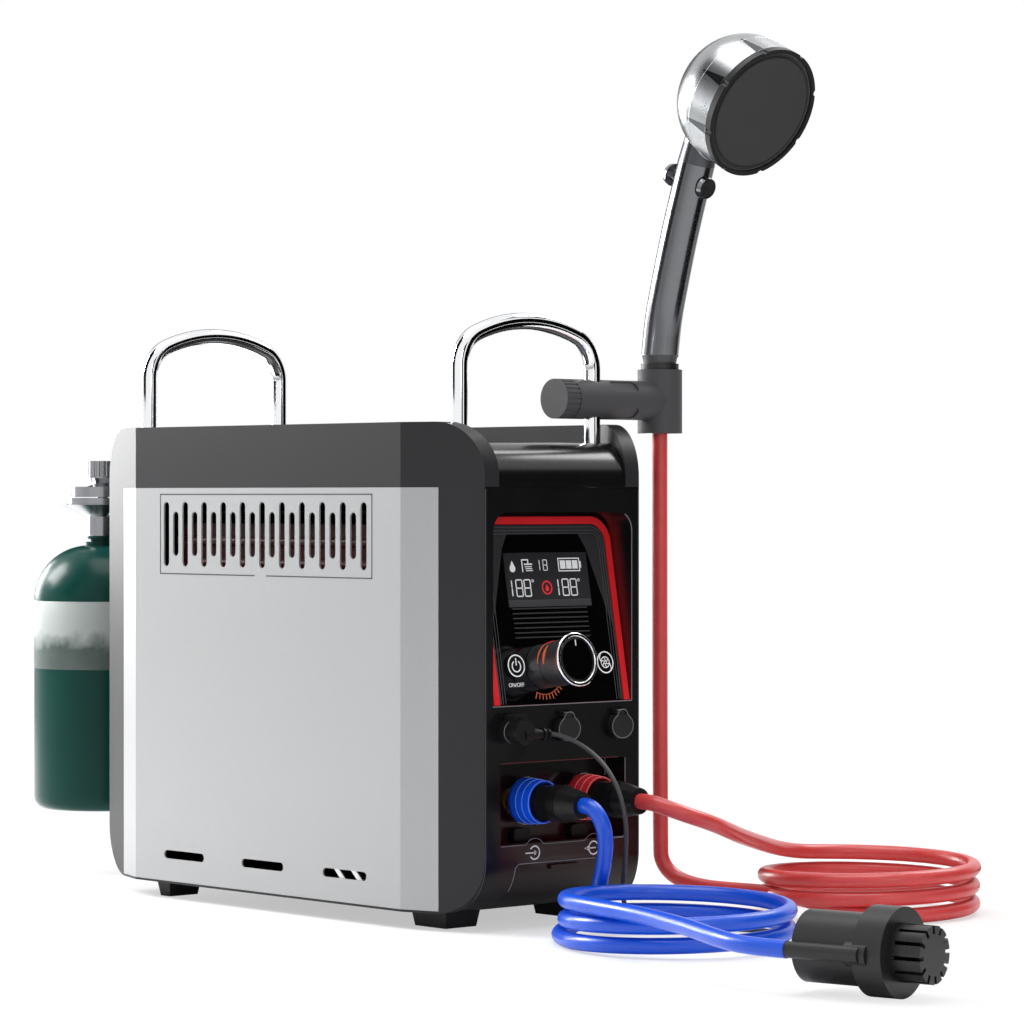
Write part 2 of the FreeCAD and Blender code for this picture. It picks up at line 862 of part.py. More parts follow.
def control_board():
    """Circuit board on the panel's standoffs, with a push switch behind each button."""
    back = -board_depth - board_thickness
    board = box(-board_half_width, board_half_width, board_foot, board_head, back, -board_depth)
    pieces = [board]
    for x in (power_x, pump_button_x):
        pieces.append(box(x - switch_half, x + switch_half, button_v - switch_half, button_v + switch_half,
                          -board_depth, -board_depth + switch_height))
    chip_foot = board_foot + chip_rise
    pieces.append(box(chip_x, chip_x + chip_side, chip_foot, chip_foot + chip_side,
                      back - chip_height, back))
    return on_panel(joined(pieces))


def encoder_body():
    """Rotary encoder on the board, with the bushing that the knob's shaft turns in."""
    case = box(knob_x - encoder_half, knob_x + encoder_half, knob_v - encoder_half, knob_v + encoder_half,
               -board_depth, -encoder_front)
    bushing = rod(bushing_radius, (knob_x, knob_v, -bushing_length), (0, 0, 1), bushing_length)
    bore_foot = -shaft_depth - switch_gap
    bore = rod(shaft_radius + shaft_clearance, (knob_x, knob_v, bore_foot), (0, 0, 1),
               CUT_REACH - bore_foot)
    return on_panel(joined([case, bushing]).cut(bore))


def temperature_knob():
    """Knob with a groove round it, a wider bright rim, a recessed end disc and its shaft."""
    ring_foot = knob_length - knob_ring_depth
    rear_radius = knob_radius - knob_rear_step
    groove_radius = rear_radius - knob_groove_depth
    face_radius = knob_ring_radius - knob_rim_width
    profile = [(rear_radius, knob_gap), (rear_radius, knob_groove_foot), (groove_radius, knob_groove_foot),
               (groove_radius, knob_groove_top), (knob_radius, knob_groove_top), (knob_radius, ring_foot),
               (knob_ring_radius, ring_foot), (knob_ring_radius, knob_length)]
    body = turned(profile, (knob_x, knob_v, 0), (0, 0, 1))
    disc_foot = knob_length - knob_disc_depth
    body = body.cut(rod(face_radius, (knob_x, knob_v, disc_foot), (0, 0, 1), CUT_REACH))
    shaft = rod(shaft_radius, (knob_x, knob_v, -shaft_depth), (0, 0, 1), shaft_depth + 2 * knob_gap)
    return on_panel(joined([body, shaft]))


def push_button(x):
    """Round button cap with a retaining flange and a stem over its switch."""
    flange_back = -panel_thickness - button_flange_depth
    stem_end = -board_depth + switch_height + button_travel + switch_gap
    cap = rod(button_radius, (x, button_v, flange_back), (0, 0, 1), button_proud - flange_back)
    flange = rod(button_flange_radius, (x, button_v, flange_back), (0, 0, 1), button_flange_thickness)
    stem_length = flange_back + button_flange_thickness / 2 - stem_end
    stem = rod(button_stem_radius, (x, button_v, stem_end), (0, 0, 1), stem_length)
    return on_panel(joined([cap, flange, stem]))


save("control_panel", control_panel())
save("panel_trim", panel_trim())
save("display_window", display_window())
save("circuit_boards", Part.makeCompound([display_board(), joined([control_board(), encoder_body()])]))
save("temperature_knob", temperature_knob())
save("power_button", push_button(power_x))
save("pump_button", push_button(pump_button_x))


# ---------------------------------------------------------------- sockets
front_face = -case_half_depth
socket_plate = 1.0
plate_face = front_face - socket_plate
barrel_wall = 0.1
lug_wall = 0.6
cap_pin_y = plate_face - cap_pin_radius - barrel_wall - cap_gap
cap_pin_z = tab_top - cap_pin_radius - lug_wall
contact_radius = 1.0
strap_half_height = 1.4
socket_bore_radius = 4.0
cap_swing_room = 2.6
socket_depth = 14.0
fuse_holder_depth = 26.0


def socket_body(x, depth, with_lugs):
    """Panel socket: face plate with a tab above it, a round body through the wall, and two lugs."""
    plate = obround(socket_width, socket_height, x, socket_z, plate_face, front_face)
    tab = box(x - tab_width / 2, x + tab_width / 2, plate_face, front_face, socket_z, tab_top)
    body = rod(socket_body_radius, (x, plate_face, socket_z), (0, 1, 0), depth)
    bore = rod(socket_bore_radius, (x, plate_face - CUT_REACH, socket_z), (0, 1, 0), depth + CUT_REACH - 4)
    pin = rod(contact_radius, (x, plate_face + 1, socket_z), (0, 1, 0), depth - 2)
    pieces = [plate, tab, body]
    if with_lugs:
        lug_reach = cap_pin_radius + lug_wall
        for side in (-1, 1):
            start = x + side * (tab_width / 2 - cap_lug / 2) - cap_lug / 2
            pieces.append(box(start, start + cap_lug, cap_pin_y - lug_reach, front_face,
                              cap_pin_z - lug_reach, tab_top))
    socket = joined(pieces).cut(bore)
    socket = joined([socket, pin])
    if with_lugs:
        hole_start = (x - tab_width, cap_pin_y, cap_pin_z)
        socket = socket.cut(rod(cap_pin_radius + cap_pin_clearance, hole_start, (1, 0, 0), 2 * tab_width))
    return socket


def socket_cap(x):
    """Rubber cap that lifts on a pin between the socket's lugs."""
    back = plate_face - cap_gap
    plate = obround(socket_width, socket_height, x, socket_z, back - cap_thickness, back)
    half_strap = tab_width / 2 - cap_lug - cap_gap
    strap = box(x - half_strap, x + half_strap, cap_pin_y - strap_half_height, back, socket_z, cap_pin_z)
    barrel_start = (x - half_strap, cap_pin_y, cap_pin_z)
    barrel = rod(cap_pin_radius + barrel_wall, barrel_start, (1, 0, 0), 2 * half_strap)
    pin_half = tab_width / 2 - barrel_wall
    pin = rod(cap_pin_radius, (x - pin_half, cap_pin_y, cap_pin_z), (1, 0, 0), 2 * pin_half)
    room = box(x - tab_width, x + tab_width, back - cap_thickness - CUT_REACH, back + CUT_REACH,
               cap_pin_z - cap_swing_room, tab_top)
    return joined([plate.cut(room), strap, barrel, pin])


plug_arm_depth = 9.0
plug_arm_y = front_face - plug_arm_depth
plug_z = 122.5
plug_head_radius = 8.0
plug_head_length = 13.0
plug_crest_round = 2.5
plug_arm_end = -27.0
plug_arm_radii = (6.2, 3.0)
plug_neck_radius = 1.9
plug_neck_length = 7.5
plug_ring_radii = (3.9, 3.1)
plug_ring_widths = (2.0, 1.6)
plug_ring_pitch = 4.4
plug_spigot_wall = 2.5
plug_spigot_clearance = 0.2
plug_spigot_length = 9.0


def pump_plug():
    """Right-angled plug: a head on the socket, an arm across the face, and two strain-relief rings."""
    head_base = (pump_socket_x, plate_face, socket_z)
    head = rod(plug_head_radius, head_base, (0, -1, 0), plug_head_length)
    crest = box(pump_socket_x - tab_width / 2, pump_socket_x + tab_width / 2,
                plate_face - plug_arm_depth, plate_face, socket_z, tab_top)
    crest = round_edges(crest, plug_crest_round, Y_AXIS, lambda middle: middle.z > socket_z + 1)
    arm_start = (pump_socket_x, plug_arm_y, plug_z)
    arm = taper(plug_arm_radii[0], plug_arm_radii[1], arm_start, (1, 0, 0), plug_arm_end - pump_socket_x)
    neck = rod(plug_neck_radius, (plug_arm_end - 0.5, plug_arm_y, plug_z), (1, 0, 0), plug_neck_length)
    pieces = [head, crest, arm, neck]
    for index, (radius, width) in enumerate(zip(plug_ring_radii, plug_ring_widths)):
        x = plug_arm_end + index * plug_ring_pitch
        pieces.append(rod(radius, (x, plug_arm_y, plug_z), (1, 0, 0), width))
    spigot_radius = socket_bore_radius - plug_spigot_clearance
    spigot_start = (pump_socket_x, plate_face - 0.5, socket_z)
    pieces.append(ring(spigot_radius, spigot_radius - plug_spigot_wall, spigot_start, (0, 1, 0),
                       plug_spigot_length))
    return joined(pieces)


power_sockets = [socket_body(pump_socket_x, socket_depth, False), socket_body(dc_x, socket_depth, True)]
save("power_sockets", Part.makeCompound(power_sockets))
save("fuse_holder", socket_body(fuse_x, fuse_holder_depth, True))
save("fuse_cap", socket_cap(fuse_x))
save("dc_cap", socket_cap(dc_x))
save("pump_plug", pump_plug())


# ---------------------------------------------------------------- water connections
fitting_flange = 3.0
fitting_length = 16.0
connector_ring_y = bay_wall_y - stub_length
connector_ring_depth = 2.6
collar_back = connector_ring_y - collar_start
collar_front = collar_back - collar_length
sleeve_end = collar_front + 4.2
nut_room = collar_travel + cap_gap
fitting_nut_radius = 11.0
fitting_washer_radius = 10.0
water_bore_radius = 4.2
collar_groove = 1.0
collar_step = 0.4
collar_band_taper = 0.3
collar_nut_clearance = 0.25
hose_nut_hex_length = 17.0
hose_nut_shoulder_radius = 11.6
hose_nut_shoulder_length = 7.0
hose_nut_cone_radii = (11.2, 8.2)
hose_nut_bore_radius = 3.4
drain_grip_depth = 6.0
drain_grip_round = 2.5
drain_stem_length = 18.0


def water_fitting(x):
    """Brass bulkhead fitting through the bay's rear wall, with a nut behind it."""
    start = bay_wall_y - stub_length
    barrel = rod(port_thread_radius, (x, start, port_z), (0, 1, 0), stub_length + fitting_length)
    nut = hexagon(fitting_nut_radius, (x, bay_wall_y + bay_wall, port_z), (0, 1, 0), fitting_flange)
    washer = rod(fitting_washer_radius, (x, bay_wall_y, port_z), (0, -1, 0), fitting_flange)
    bore = rod(water_bore_radius, (x, start - 1, port_z), (0, 1, 0), stub_length + fitting_length + 2)
    return joined([barrel, nut, washer]).cut(bore)


def quick_connector(x):
    """Bright connector body: a flange ring on the fitting and the sleeve that the collar slides on."""
    start = (x, connector_ring_y, port_z)
    flange = rod(connector_ring_radius, start, (0, -1, 0), connector_ring_depth)
    sleeve = rod(connector_body_radius, start, (0, -1, 0), connector_ring_y - sleeve_end)
    bore = rod(water_bore_radius, (x, connector_ring_y + 1, port_z), (0, -1, 0),
               connector_ring_y - sleeve_end + 2)
    return joined([flange, sleeve]).cut(bore)


def release_collar(x):
    """Coloured release collar with three raised bands."""
    third = collar_length / 3
    profile = []
    for index, radius in enumerate((collar_radius, collar_radius - collar_step)):
        foot = index * third
        profile.append((radius, foot))
        profile.append((radius - collar_band_taper, foot + third - collar_groove))
        profile.append((radius - collar_groove, foot + third - collar_groove))
        profile.append((radius - collar_groove, foot + third))
    profile.append((collar_front_radius + collar_band_taper, 2 * third))
    profile.append((collar_front_radius, collar_length))
    body = turned(profile, (x, collar_back, port_z), (0, -1, 0))
    bore_depth = sleeve_end - collar_front + nut_room
    nut_bore_radius = hose_nut_radius + collar_nut_clearance
    front_bore = rod(nut_bore_radius, (x, collar_front - 1, port_z), (0, 1, 0), bore_depth + 1)
    sleeve_bore_radius = connector_body_radius + collar_clearance
    rear_bore = rod(sleeve_bore_radius, (x, collar_back + 1, port_z), (0, -1, 0), collar_length + 2)
    return without(body, [front_bore, rear_bore])


def hose_nut(x):
    """Black nut on the hose: a hexagon, a round shoulder and a taper onto the hose."""
    nut = hexagon(hose_nut_radius, (x, sleeve_end, port_z), (0, -1, 0), hose_nut_hex_length)
    shoulder_start = sleeve_end - hose_nut_hex_length
    shoulder = rod(hose_nut_shoulder_radius, (x, shoulder_start, port_z), (0, -1, 0),
                   hose_nut_shoulder_length)
    cone_start = shoulder_start - hose_nut_shoulder_length
    wide, narrow = hose_nut_cone_radii
    cone = taper(wide, narrow, (x, cone_start, port_z), (0, -1, 0), hose_nut_end + cone_start)
    bore = rod(hose_nut_bore_radius, (x, sleeve_end + 1, port_z), (0, -1, 0), hose_nut_end)
    return joined([nut, shoulder, cone]).cut(bore)


def drain_plug(x):
    """Pull-out drain plug: a flat grip and a stem in the rear wall's bore."""
    back = bay_wall_y - cap_gap
    grip = box(x - drain_width / 2, x + drain_width / 2, back - drain_grip_depth, back,
               drain_z - drain_height / 2, drain_z + drain_height / 2)
    grip = round_edges(grip, drain_grip_round, Y_AXIS)
    stem = rod(drain_stem_radius, (x, back - 1, drain_z), (0, 1, 0), drain_stem_length)
    return joined([grip, stem])


save("water_fittings", Part.makeCompound([water_fitting(-port_x), water_fitting(port_x)]))
save("connector_bodies", Part.makeCompound([quick_connector(-port_x), quick_connector(port_x)]))
save("inlet_collar", release_collar(-port_x))
save("outlet_collar", release_collar(port_x))
save("hose_nuts", Part.makeCompound([hose_nut(-port_x), hose_nut(port_x)]))
save("drain_plug_left", drain_plug(-port_x))
save("drain_plug_right", drain_plug(port_x))


# ---------------------------------------------------------------- battery
base_top = foot_height + shell_wall
battery_gap = 2.0
battery_end = shell_curve_end - battery_gap
battery_half_width = 36.0
battery_round = 4.0
lip_half_width = 12.0
lip_proud = 1.6
lip_top_margin = 1.5
lip_height = 2.5


def battery_door():
    """Curved door of the battery space, with a finger lip at its top."""
    door = case_skin.common(box(-door_half_width, door_half_width, -FAR, -shell_curve_end, 0, door_top))
    lip_top = door_top - lip_top_margin
    lip = box(-lip_half_width, lip_half_width, front_face - lip_proud, front_face + 1,
              lip_top - lip_height, lip_top)
    return joined([door, lip])


def battery_pack():
    """Rechargeable pack on the case floor behind the door."""
    pack = box(-battery_half_width, battery_half_width, -battery_end, battery_length - battery_end,
               base_top, base_top + battery_height)
    return round_edges(pack, battery_round, Y_AXIS)


save("battery_door", battery_door())
save("battery_pack", battery_pack())


# ---------------------------------------------------------------- inside: burner, exchanger, gas and water
exchanger_half_width = 72.0
exchanger_half_length = 106.0
exchanger_bottom = 214.0
exchanger_top = 252.5
exchanger_wall = 1.5
fin_count = 12
fin_thickness = 3.0
wrap_tube_radius = 3.2
wrap_tube_heights = (226.0, 240.5)
chamber_half_width = 70.0
chamber_half_length = 104.0
chamber_bottom = 100.0
leg_side = 8.0
hood_height = 8.0
burner_bar_count = 9
burner_bar_pitch = 19.0
burner_bar_width = 9.0
burner_height = 16.0
manifold_x = -54.0
manifold_z = 92.0
manifold_radius = 5.0
valve_half_width = 20.0
valve_front = 118.0
valve_rear = 160.0
valve_bottom = 240.0
valve_top = 266.0
blower_y = 140.0
blower_z = 47.0
blower_radius = 30.0
blower_half_width = 18.0
impeller_radius = 24.0
impeller_half_width = 12.0
impeller_blade_count = 12
impeller_pin_radius = 2.5
impeller_clearance = 0.05
impeller_hub_radius = 6.0
impeller_plate_thickness = 2.0
impeller_blade_depth = 6.5
impeller_rim = 0.5
impeller_blade_half_thickness = 0.8
impeller_end_gap = 6.0
burner_rise = 2.0
burner_bar_gap = 3.0
burner_rail_half_width = 2.0
burner_rail_reach = 8.0
burner_rail_height = 10.0
valve_round = 4.0
manifold_end = -85.0
manifold_bend = 14.0
housing_wall = 2.0
duct_reach = 14.0
duct_drop = 4.0
stand_half_length = 16.0
fan_inlet_radius = 14.0
sensor_head_half_width = 7.0
sensor_head_start = 4.0
sensor_head_length = 14.0
sensor_head_rise = 4.0
pipe_bend = 10.0
sensor_radius = 10.0
sensor_length = 22.0
fitting_rear = bay_wall_y + fitting_length
riser_y = -124.0


def heat_exchanger():
    """Open-ended jacket with upright fins across it and two water tubes along each side."""
    jacket = box(-exchanger_half_width, exchanger_half_width, -exchanger_half_length, exchanger_half_length,
                 exchanger_bottom, exchanger_top)
    inner_width = exchanger_half_width - exchanger_wall
    inner_length = exchanger_half_length - exchanger_wall
    jacket = jacket.cut(box(-inner_width, inner_width, -inner_length, inner_length, 0, FAR))
    pieces = [jacket]
    pitch = 2 * inner_length / (fin_count + 1)
    for index in range(fin_count):
        y = -inner_length + (index + 1) * pitch
        pieces.append(box(-inner_width, inner_width, y - fin_thickness / 2, y + fin_thickness / 2,
                          exchanger_bottom, exchanger_top))
    for z in wrap_tube_heights:
        for x in (-exchanger_half_width, exchanger_half_width):
            start = (x, -exchanger_half_length, z)
            pieces.append(rod(wrap_tube_radius, start, (0, 1, 0), 2 * exchanger_half_length))
    return joined(pieces)


def combustion_chamber():
    """Sheet chamber on four legs under the exchanger, and the hood over the exchanger."""
    chamber = box(-chamber_half_width, chamber_half_width, -chamber_half_length, chamber_half_length,
                  chamber_bottom, exchanger_bottom)
    inner_width = chamber_half_width - exchanger_wall
    inner_length = chamber_half_length - exchanger_wall
    chamber = chamber.cut(box(-inner_width, inner_width, -inner_length, inner_length, 0, FAR))
    pieces = [chamber]
    for sx in (1, -1):
        for sy in (1, -1):
            x = sx * (chamber_half_width - leg_side / 2)
            y = sy * (chamber_half_length - leg_side / 2)
            half = leg_side / 2
            pieces.append(box(x - half, x + half, y - half, y + half, base_top, chamber_bottom + leg_side))
    hood = box(-exchanger_half_width, exchanger_half_width, -exchanger_half_length, exchanger_half_length,
               exchanger_top, exchanger_top + hood_height)
    under = box(-FAR, FAR, -exchanger_half_length + exchanger_wall, exchanger_half_length - exchanger_wall,
                0, exchanger_top + hood_height - exchanger_wall)
    return Part.makeCompound([joined(pieces), hood.cut(under)])


def burner():
    """Row of burner bars between two side rails that rest against the chamber's walls."""
    half_width = chamber_half_width - exchanger_wall
    pieces = []
    reach = (burner_bar_count - 1) / 2 * burner_bar_pitch
    bottom = chamber_bottom + burner_rise
    bar_half_length = half_width - burner_bar_gap
    for index in range(burner_bar_count):
        y = -reach + index * burner_bar_pitch
        pieces.append(box(-bar_half_length, bar_half_length, y - burner_bar_width / 2,
                          y + burner_bar_width / 2,
                          bottom, bottom + burner_height))
    rail_end = reach + burner_rail_reach
    for side in (-1, 1):
        x = side * (half_width - burner_rail_half_width)
        pieces.append(box(x - burner_rail_half_width, x + burner_rail_half_width, -rail_end, rail_end,
                          bottom, bottom + burner_rail_height))
    return joined(pieces)


def gas_valve():
    """Gas valve block behind the hood, and the manifold that runs from it under the burner."""
    block = box(-valve_half_width, valve_half_width, valve_front, valve_rear, valve_bottom, valve_top)
    block = round_edges(block, valve_round, Z_AXIS)
    outlet_y = (valve_front + valve_rear) / 2
    points = [(manifold_x, manifold_end, manifold_z), (manifold_x, outlet_y, manifold_z),
              (0, outlet_y, manifold_z),
              (0, outlet_y, valve_bottom)]
    manifold = tube_along(bend_path(points, [manifold_bend, manifold_bend]), manifold_radius)
    return Part.makeCompound([block, manifold])


def blower_housing():
    """Fan housing on the case floor, with a side inlet, an outlet to the front and the impeller's pin."""
    half = blower_half_width
    shell = rod(blower_radius, (-half, blower_y, blower_z), (1, 0, 0), 2 * half)
    wall = housing_wall
    duct_top = blower_z - duct_drop
    duct_foot = blower_z - blower_radius
    duct = box(-half, half, blower_y - blower_radius - duct_reach, blower_y, duct_foot, duct_top)
    stand = box(-half, half, blower_y - stand_half_length, blower_y + stand_half_length, base_top, blower_z)
    cavity = rod(blower_radius - wall, (-half + wall, blower_y, blower_z), (1, 0, 0), 2 * half - 2 * wall)
    duct_bore = box(-half + wall, half - wall, blower_y - FAR, blower_y, duct_foot + wall, duct_top - wall)
    inlet = rod(fan_inlet_radius, (0, blower_y, blower_z), (1, 0, 0), FAR)
    housing = without(joined([shell, duct, stand]), [cavity, duct_bore, inlet])
    pin_start = (-half + wall / 2, blower_y, blower_z)
    pin = rod(impeller_pin_radius, pin_start, (1, 0, 0), 2 * half - wall - impeller_end_gap)
    return joined([housing, pin])


def blower_impeller():
    """Drum impeller: a hub on the pin, a back plate and a ring of blades."""
    start = -impeller_half_width
    length = 2 * impeller_half_width
    hub = rod(impeller_hub_radius, (start, blower_y, blower_z), (1, 0, 0), length)
    plate = rod(impeller_radius, (start, blower_y, blower_z), (1, 0, 0), impeller_plate_thickness)
    blade_tip = impeller_radius - impeller_rim
    pieces = [hub, plate]
    for index in range(impeller_blade_count):
        blade = box(start, start + length, blade_tip - impeller_blade_depth, blade_tip,
                    -impeller_blade_half_thickness, impeller_blade_half_thickness)
        blade.rotate(Vector(0, 0, 0), X_AXIS, index * 360 / impeller_blade_count)
        blade.translate(Vector(0, blower_y, blower_z))
        pieces.append(blade)
    bore = rod(impeller_pin_radius + impeller_clearance, (-FAR, blower_y, blower_z), (1, 0, 0), 2 * FAR)
    return joined(pieces).cut(bore)


def flow_sensor():
    """Turbine flow sensor on the inlet fitting."""
    body = rod(sensor_radius, (-port_x, fitting_rear, port_z), (0, 1, 0), sensor_length)
    head_start = fitting_rear + sensor_head_start
    head = box(-port_x - sensor_head_half_width, sensor_head_half_width - port_x, head_start,
               head_start + sensor_head_length, port_z, port_z + sensor_radius + sensor_head_rise)
    return joined([body, head])


def water_pipes():
    """Cold pipe from the sensor and hot pipe from the exchanger."""
    pipes = []
    sensor_end = fitting_rear + sensor_length
    cold, hot = wrap_tube_heights
    for x, start, height in ((-port_x, sensor_end, cold), (port_x, fitting_rear, hot)):
        points = [(x, start, port_z), (x, riser_y, port_z), (x, riser_y, height),
                  (x, -exchanger_half_length, height)]
        pipes.append(tube_along(bend_path(points, [pipe_bend, pipe_bend]), manifold_radius))
    return pipes


save("heat_exchanger", heat_exchanger())
save("combustion_chamber", combustion_chamber())
save("burner", burner())
save("gas_valve", gas_valve())
save("blower_housing", blower_housing())
save("blower_impeller", blower_impeller())
save("water_pipes", Part.makeCompound([flow_sensor()] + water_pipes()))


# ---------------------------------------------------------------- propane cylinder and regulator
stem_gap = 0.3
spindle_radius = 4.0
spindle_clearance = 0.05
thread_length = 9.0
neck_ring_thickness = 2.6
neck_clearance = 2.0
valve_washer_thickness = 2.0
disc_gap = 0.4
spindle_length = 8.0
spindle_end_gap = 0.4
pipe_nut_radius = 9.0
pipe_nut_length = 10.0
pipe_nut_gap = 0.2
thread_end_gap = 0.6
dial_hub_margin = 1.5
dial_neck_margin = 3.0
dial_flute_count = 16
dial_flute_radius = 1.1
dial_flute_offset = 0.5
dome_share = (0.8, 0.66)


def cylinder_axis(z):
    """Point on the cylinder's axis."""
    return (0, cylinder_y, z)


def cylinder_volume(inset):
    """The cylinder's vessel, moved in by an inset: rounded foot, straight wall and domed shoulder."""
    wall = cylinder_radius - inset
    bottom = cylinder_bottom + inset
    top = cylinder_neck_bottom - inset
    bend = cylinder_foot_radius * (1 - math.sqrt(0.5))
    foot = Vector(0, 0, bottom)
    foot_edge = Vector(wall - cylinder_foot_radius, 0, bottom)
    wall_foot = Vector(wall, 0, bottom + cylinder_foot_radius)
    foot_middle = Vector(wall - bend, 0, bottom + bend)
    shoulder = Vector(wall, 0, cylinder_shoulder)
    dome_z = cylinder_shoulder + (top - cylinder_shoulder) * dome_share[1]
    dome_middle = Vector(wall * dome_share[0], 0, dome_z)
    neck = Vector(neck_ring_radius - inset, 0, top)
    edges = [Part.LineSegment(foot, foot_edge).toShape()]
    edges.append(Part.Arc(foot_edge, foot_middle, wall_foot).toShape())
    edges.append(Part.LineSegment(wall_foot, shoulder).toShape())
    edges.append(Part.Arc(shoulder, dome_middle, neck).toShape())
    edges.append(Part.LineSegment(neck, Vector(0, 0, top)).toShape())
    edges.append(Part.LineSegment(Vector(0, 0, top), foot).toShape())
    vessel = Part.Face(Part.Wire(edges)).revolve(Vector(0, 0, 0), Z_AXIS, 360)
    vessel.translate(Vector(0, cylinder_y, 0))
    return vessel


def propane_cylinder():
    """Disposable-size cylinder: a hollow steel vessel with a neck ring and a threaded valve."""
    body = cylinder_volume(0)
    neck_foot = cylinder_axis(cylinder_neck_bottom)
    neck_ring = rod(neck_ring_radius, neck_foot, (0, 0, 1), neck_ring_thickness)
    washer_foot = cylinder_neck_top - valve_washer_thickness
    collar = rod(washer_radius - neck_clearance, neck_foot, (0, 0, 1), washer_foot - cylinder_neck_bottom)
    washer = rod(washer_radius, cylinder_axis(washer_foot), (0, 0, 1), valve_washer_thickness)
    thread = rod(gas_thread_radius, cylinder_axis(cylinder_neck_top - 1), (0, 0, 1), thread_length + 1)
    return joined([body, neck_ring, collar, washer, thread]).cut(cylinder_volume(cylinder_wall))


def regulator_body():
    """Regulator: bright stem over the valve thread, flared cup, rim, spindle, and the pipe into the case."""
    stem_bottom = cylinder_neck_top + stem_gap
    disc_bottom = flare_top + disc_gap
    profile = [(stem_radius, stem_bottom), (stem_radius, stem_top), (flare_radius, flare_top),
               (flare_radius, disc_bottom), (disc_radius, disc_bottom), (disc_radius, disc_top)]
    body = turned(profile, (0, cylinder_y, 0), (0, 0, 1))
    spindle = rod(spindle_radius, cylinder_axis(disc_top - 1), (0, 0, 1), spindle_length)
    pipe_y = cylinder_y - gas_thread_radius
    pipe = rod(regulator_pipe_radius, (0, pipe_y, regulator_pipe_z), (0, -1, 0), pipe_y - valve_rear)
    nut_start = (0, case_half_depth + pipe_nut_gap, regulator_pipe_z)
    pipe_nut = hexagon(pipe_nut_radius, nut_start, (0, 1, 0), pipe_nut_length)
    bore_radius = gas_thread_radius + gas_thread_clearance
    bore_length = cylinder_neck_top + thread_length + thread_end_gap
    thread_bore = rod(bore_radius, cylinder_axis(0), (0, 0, 1), bore_length)
    return joined([body, spindle, pipe, pipe_nut]).cut(thread_bore)


def regulator_knob():
    """Regulating knob: a wide dial with a narrower ribbed grip on top."""
    profile = [(dial_radius, dial_bottom), (dial_radius, dial_top),
               (dial_grip_radius + dial_hub_margin, dial_top),
               (dial_grip_radius - dial_neck_margin, dial_top + dial_hub_margin),
               (dial_grip_radius - dial_hub_margin, dial_grip_bottom),
               (dial_grip_radius, dial_grip_bottom), (dial_grip_radius, dial_grip_top)]
    body = turned(profile, (0, cylinder_y, 0), (0, 0, 1))
    bore_top = disc_top + spindle_length - 1 + spindle_end_gap
    bore = rod(spindle_radius + spindle_clearance, cylinder_axis(0), (0, 0, 1), bore_top)
    flutes = []
    reach = dial_grip_radius + dial_flute_offset
    for index in range(dial_flute_count):
        angle = 2 * math.pi * index / dial_flute_count
        start = (reach * math.cos(angle), cylinder_y + reach * math.sin(angle), dial_grip_bottom + 1)
        flutes.append(rod(dial_flute_radius, start, (0, 0, 1), FAR))
    return without(body, [bore] + flutes)


save("propane_cylinder", propane_cylinder())
save("regulator_body", regulator_body())
save("regulator_knob", regulator_knob())


# ---------------------------------------------------------------- shower holder
leg_x = handle_half_span
flute_count = 24
flute_radius = 0.95
flute_offset = 0.3
flute_start = 1.0
window_left = 66.0
window_right = 89.0
window_half_width = 5.0
window_depth = 1.6
window_round = 4.0
leg_clearance = 0.02
mouth_inset = 7.5
hose_slot_margin = 1.0


def holder_body():
    """Clamp round the handle leg, the arm with its shallow windows, and the handset's upright socket."""
    arm_start = clamp_knob_right + clamp_gap
    arm = rod(holder_radius, (arm_start, holder_y, holder_z), (1, 0, 0), socket_x - arm_start)
    holder_height = holder_socket_top - holder_socket_bottom
    upright_foot = (socket_x, holder_y, holder_socket_bottom)
    upright = rod(holder_socket_radius, upright_foot, (0, 0, 1), holder_height)
    cutters = [rod(handle_radius + leg_clearance, (leg_x, holder_y, 0), (0, 0, 1), FAR * 2)]
    for side in (1, -1):
        mouth_start = (leg_x, holder_y, holder_z + side * (holder_radius - mouth_inset))
        cutters.append(taper(leg_clearance, holder_radius, mouth_start, (0, 0, side), holder_radius))
    cutters.append(rod(holder_socket_bore, (socket_x, holder_y, 0), (0, 0, 1), FAR * 2))
    slot_half_width = hose_radius + hose_slot_margin
    cutters.append(box(socket_x - slot_half_width, socket_x + slot_half_width, holder_y, FAR,
                       holder_socket_bottom - 1, holder_socket_top + 1))
    for angle in (45, 135, 225, 315):
        pocket = box(window_left, window_right, -window_half_width, window_half_width,
                     holder_radius - window_depth, holder_radius + CUT_REACH)
        pocket = round_edges(pocket, window_round, Z_AXIS)
        pocket.rotate(Vector(0, 0, 0), X_AXIS, angle)
        pocket.translate(Vector(0, holder_y, holder_z))
        cutters.append(pocket)
    bore_radius = clamp_screw_radius + clamp_clearance
    cutters.append(rod(bore_radius, (0, holder_y, holder_z), (1, 0, 0), clamp_screw_end + clamp_gap))
    return without(joined([arm, upright]), cutters)


def holder_knob():
    """Fluted clamp knob with its screw."""
    body = rod(holder_radius, (clamp_knob_left, holder_y, holder_z), (1, 0, 0),
               clamp_knob_right - clamp_knob_left)
    flutes = []
    for index in range(flute_count):
        angle = 2 * math.pi * index / flute_count
        y = holder_y + (holder_radius + flute_offset) * math.cos(angle)
        z = holder_z + (holder_radius + flute_offset) * math.sin(angle)
        flutes.append(rod(flute_radius, (clamp_knob_left + flute_start, y, z), (1, 0, 0), FAR))
    screw_start = clamp_knob_right - 1
    screw = rod(clamp_screw_radius, (screw_start, holder_y, holder_z), (1, 0, 0),
                clamp_screw_end - screw_start)
    return joined([without(body, flutes), screw])


save("holder_body", holder_body())
save("holder_knob", holder_knob())


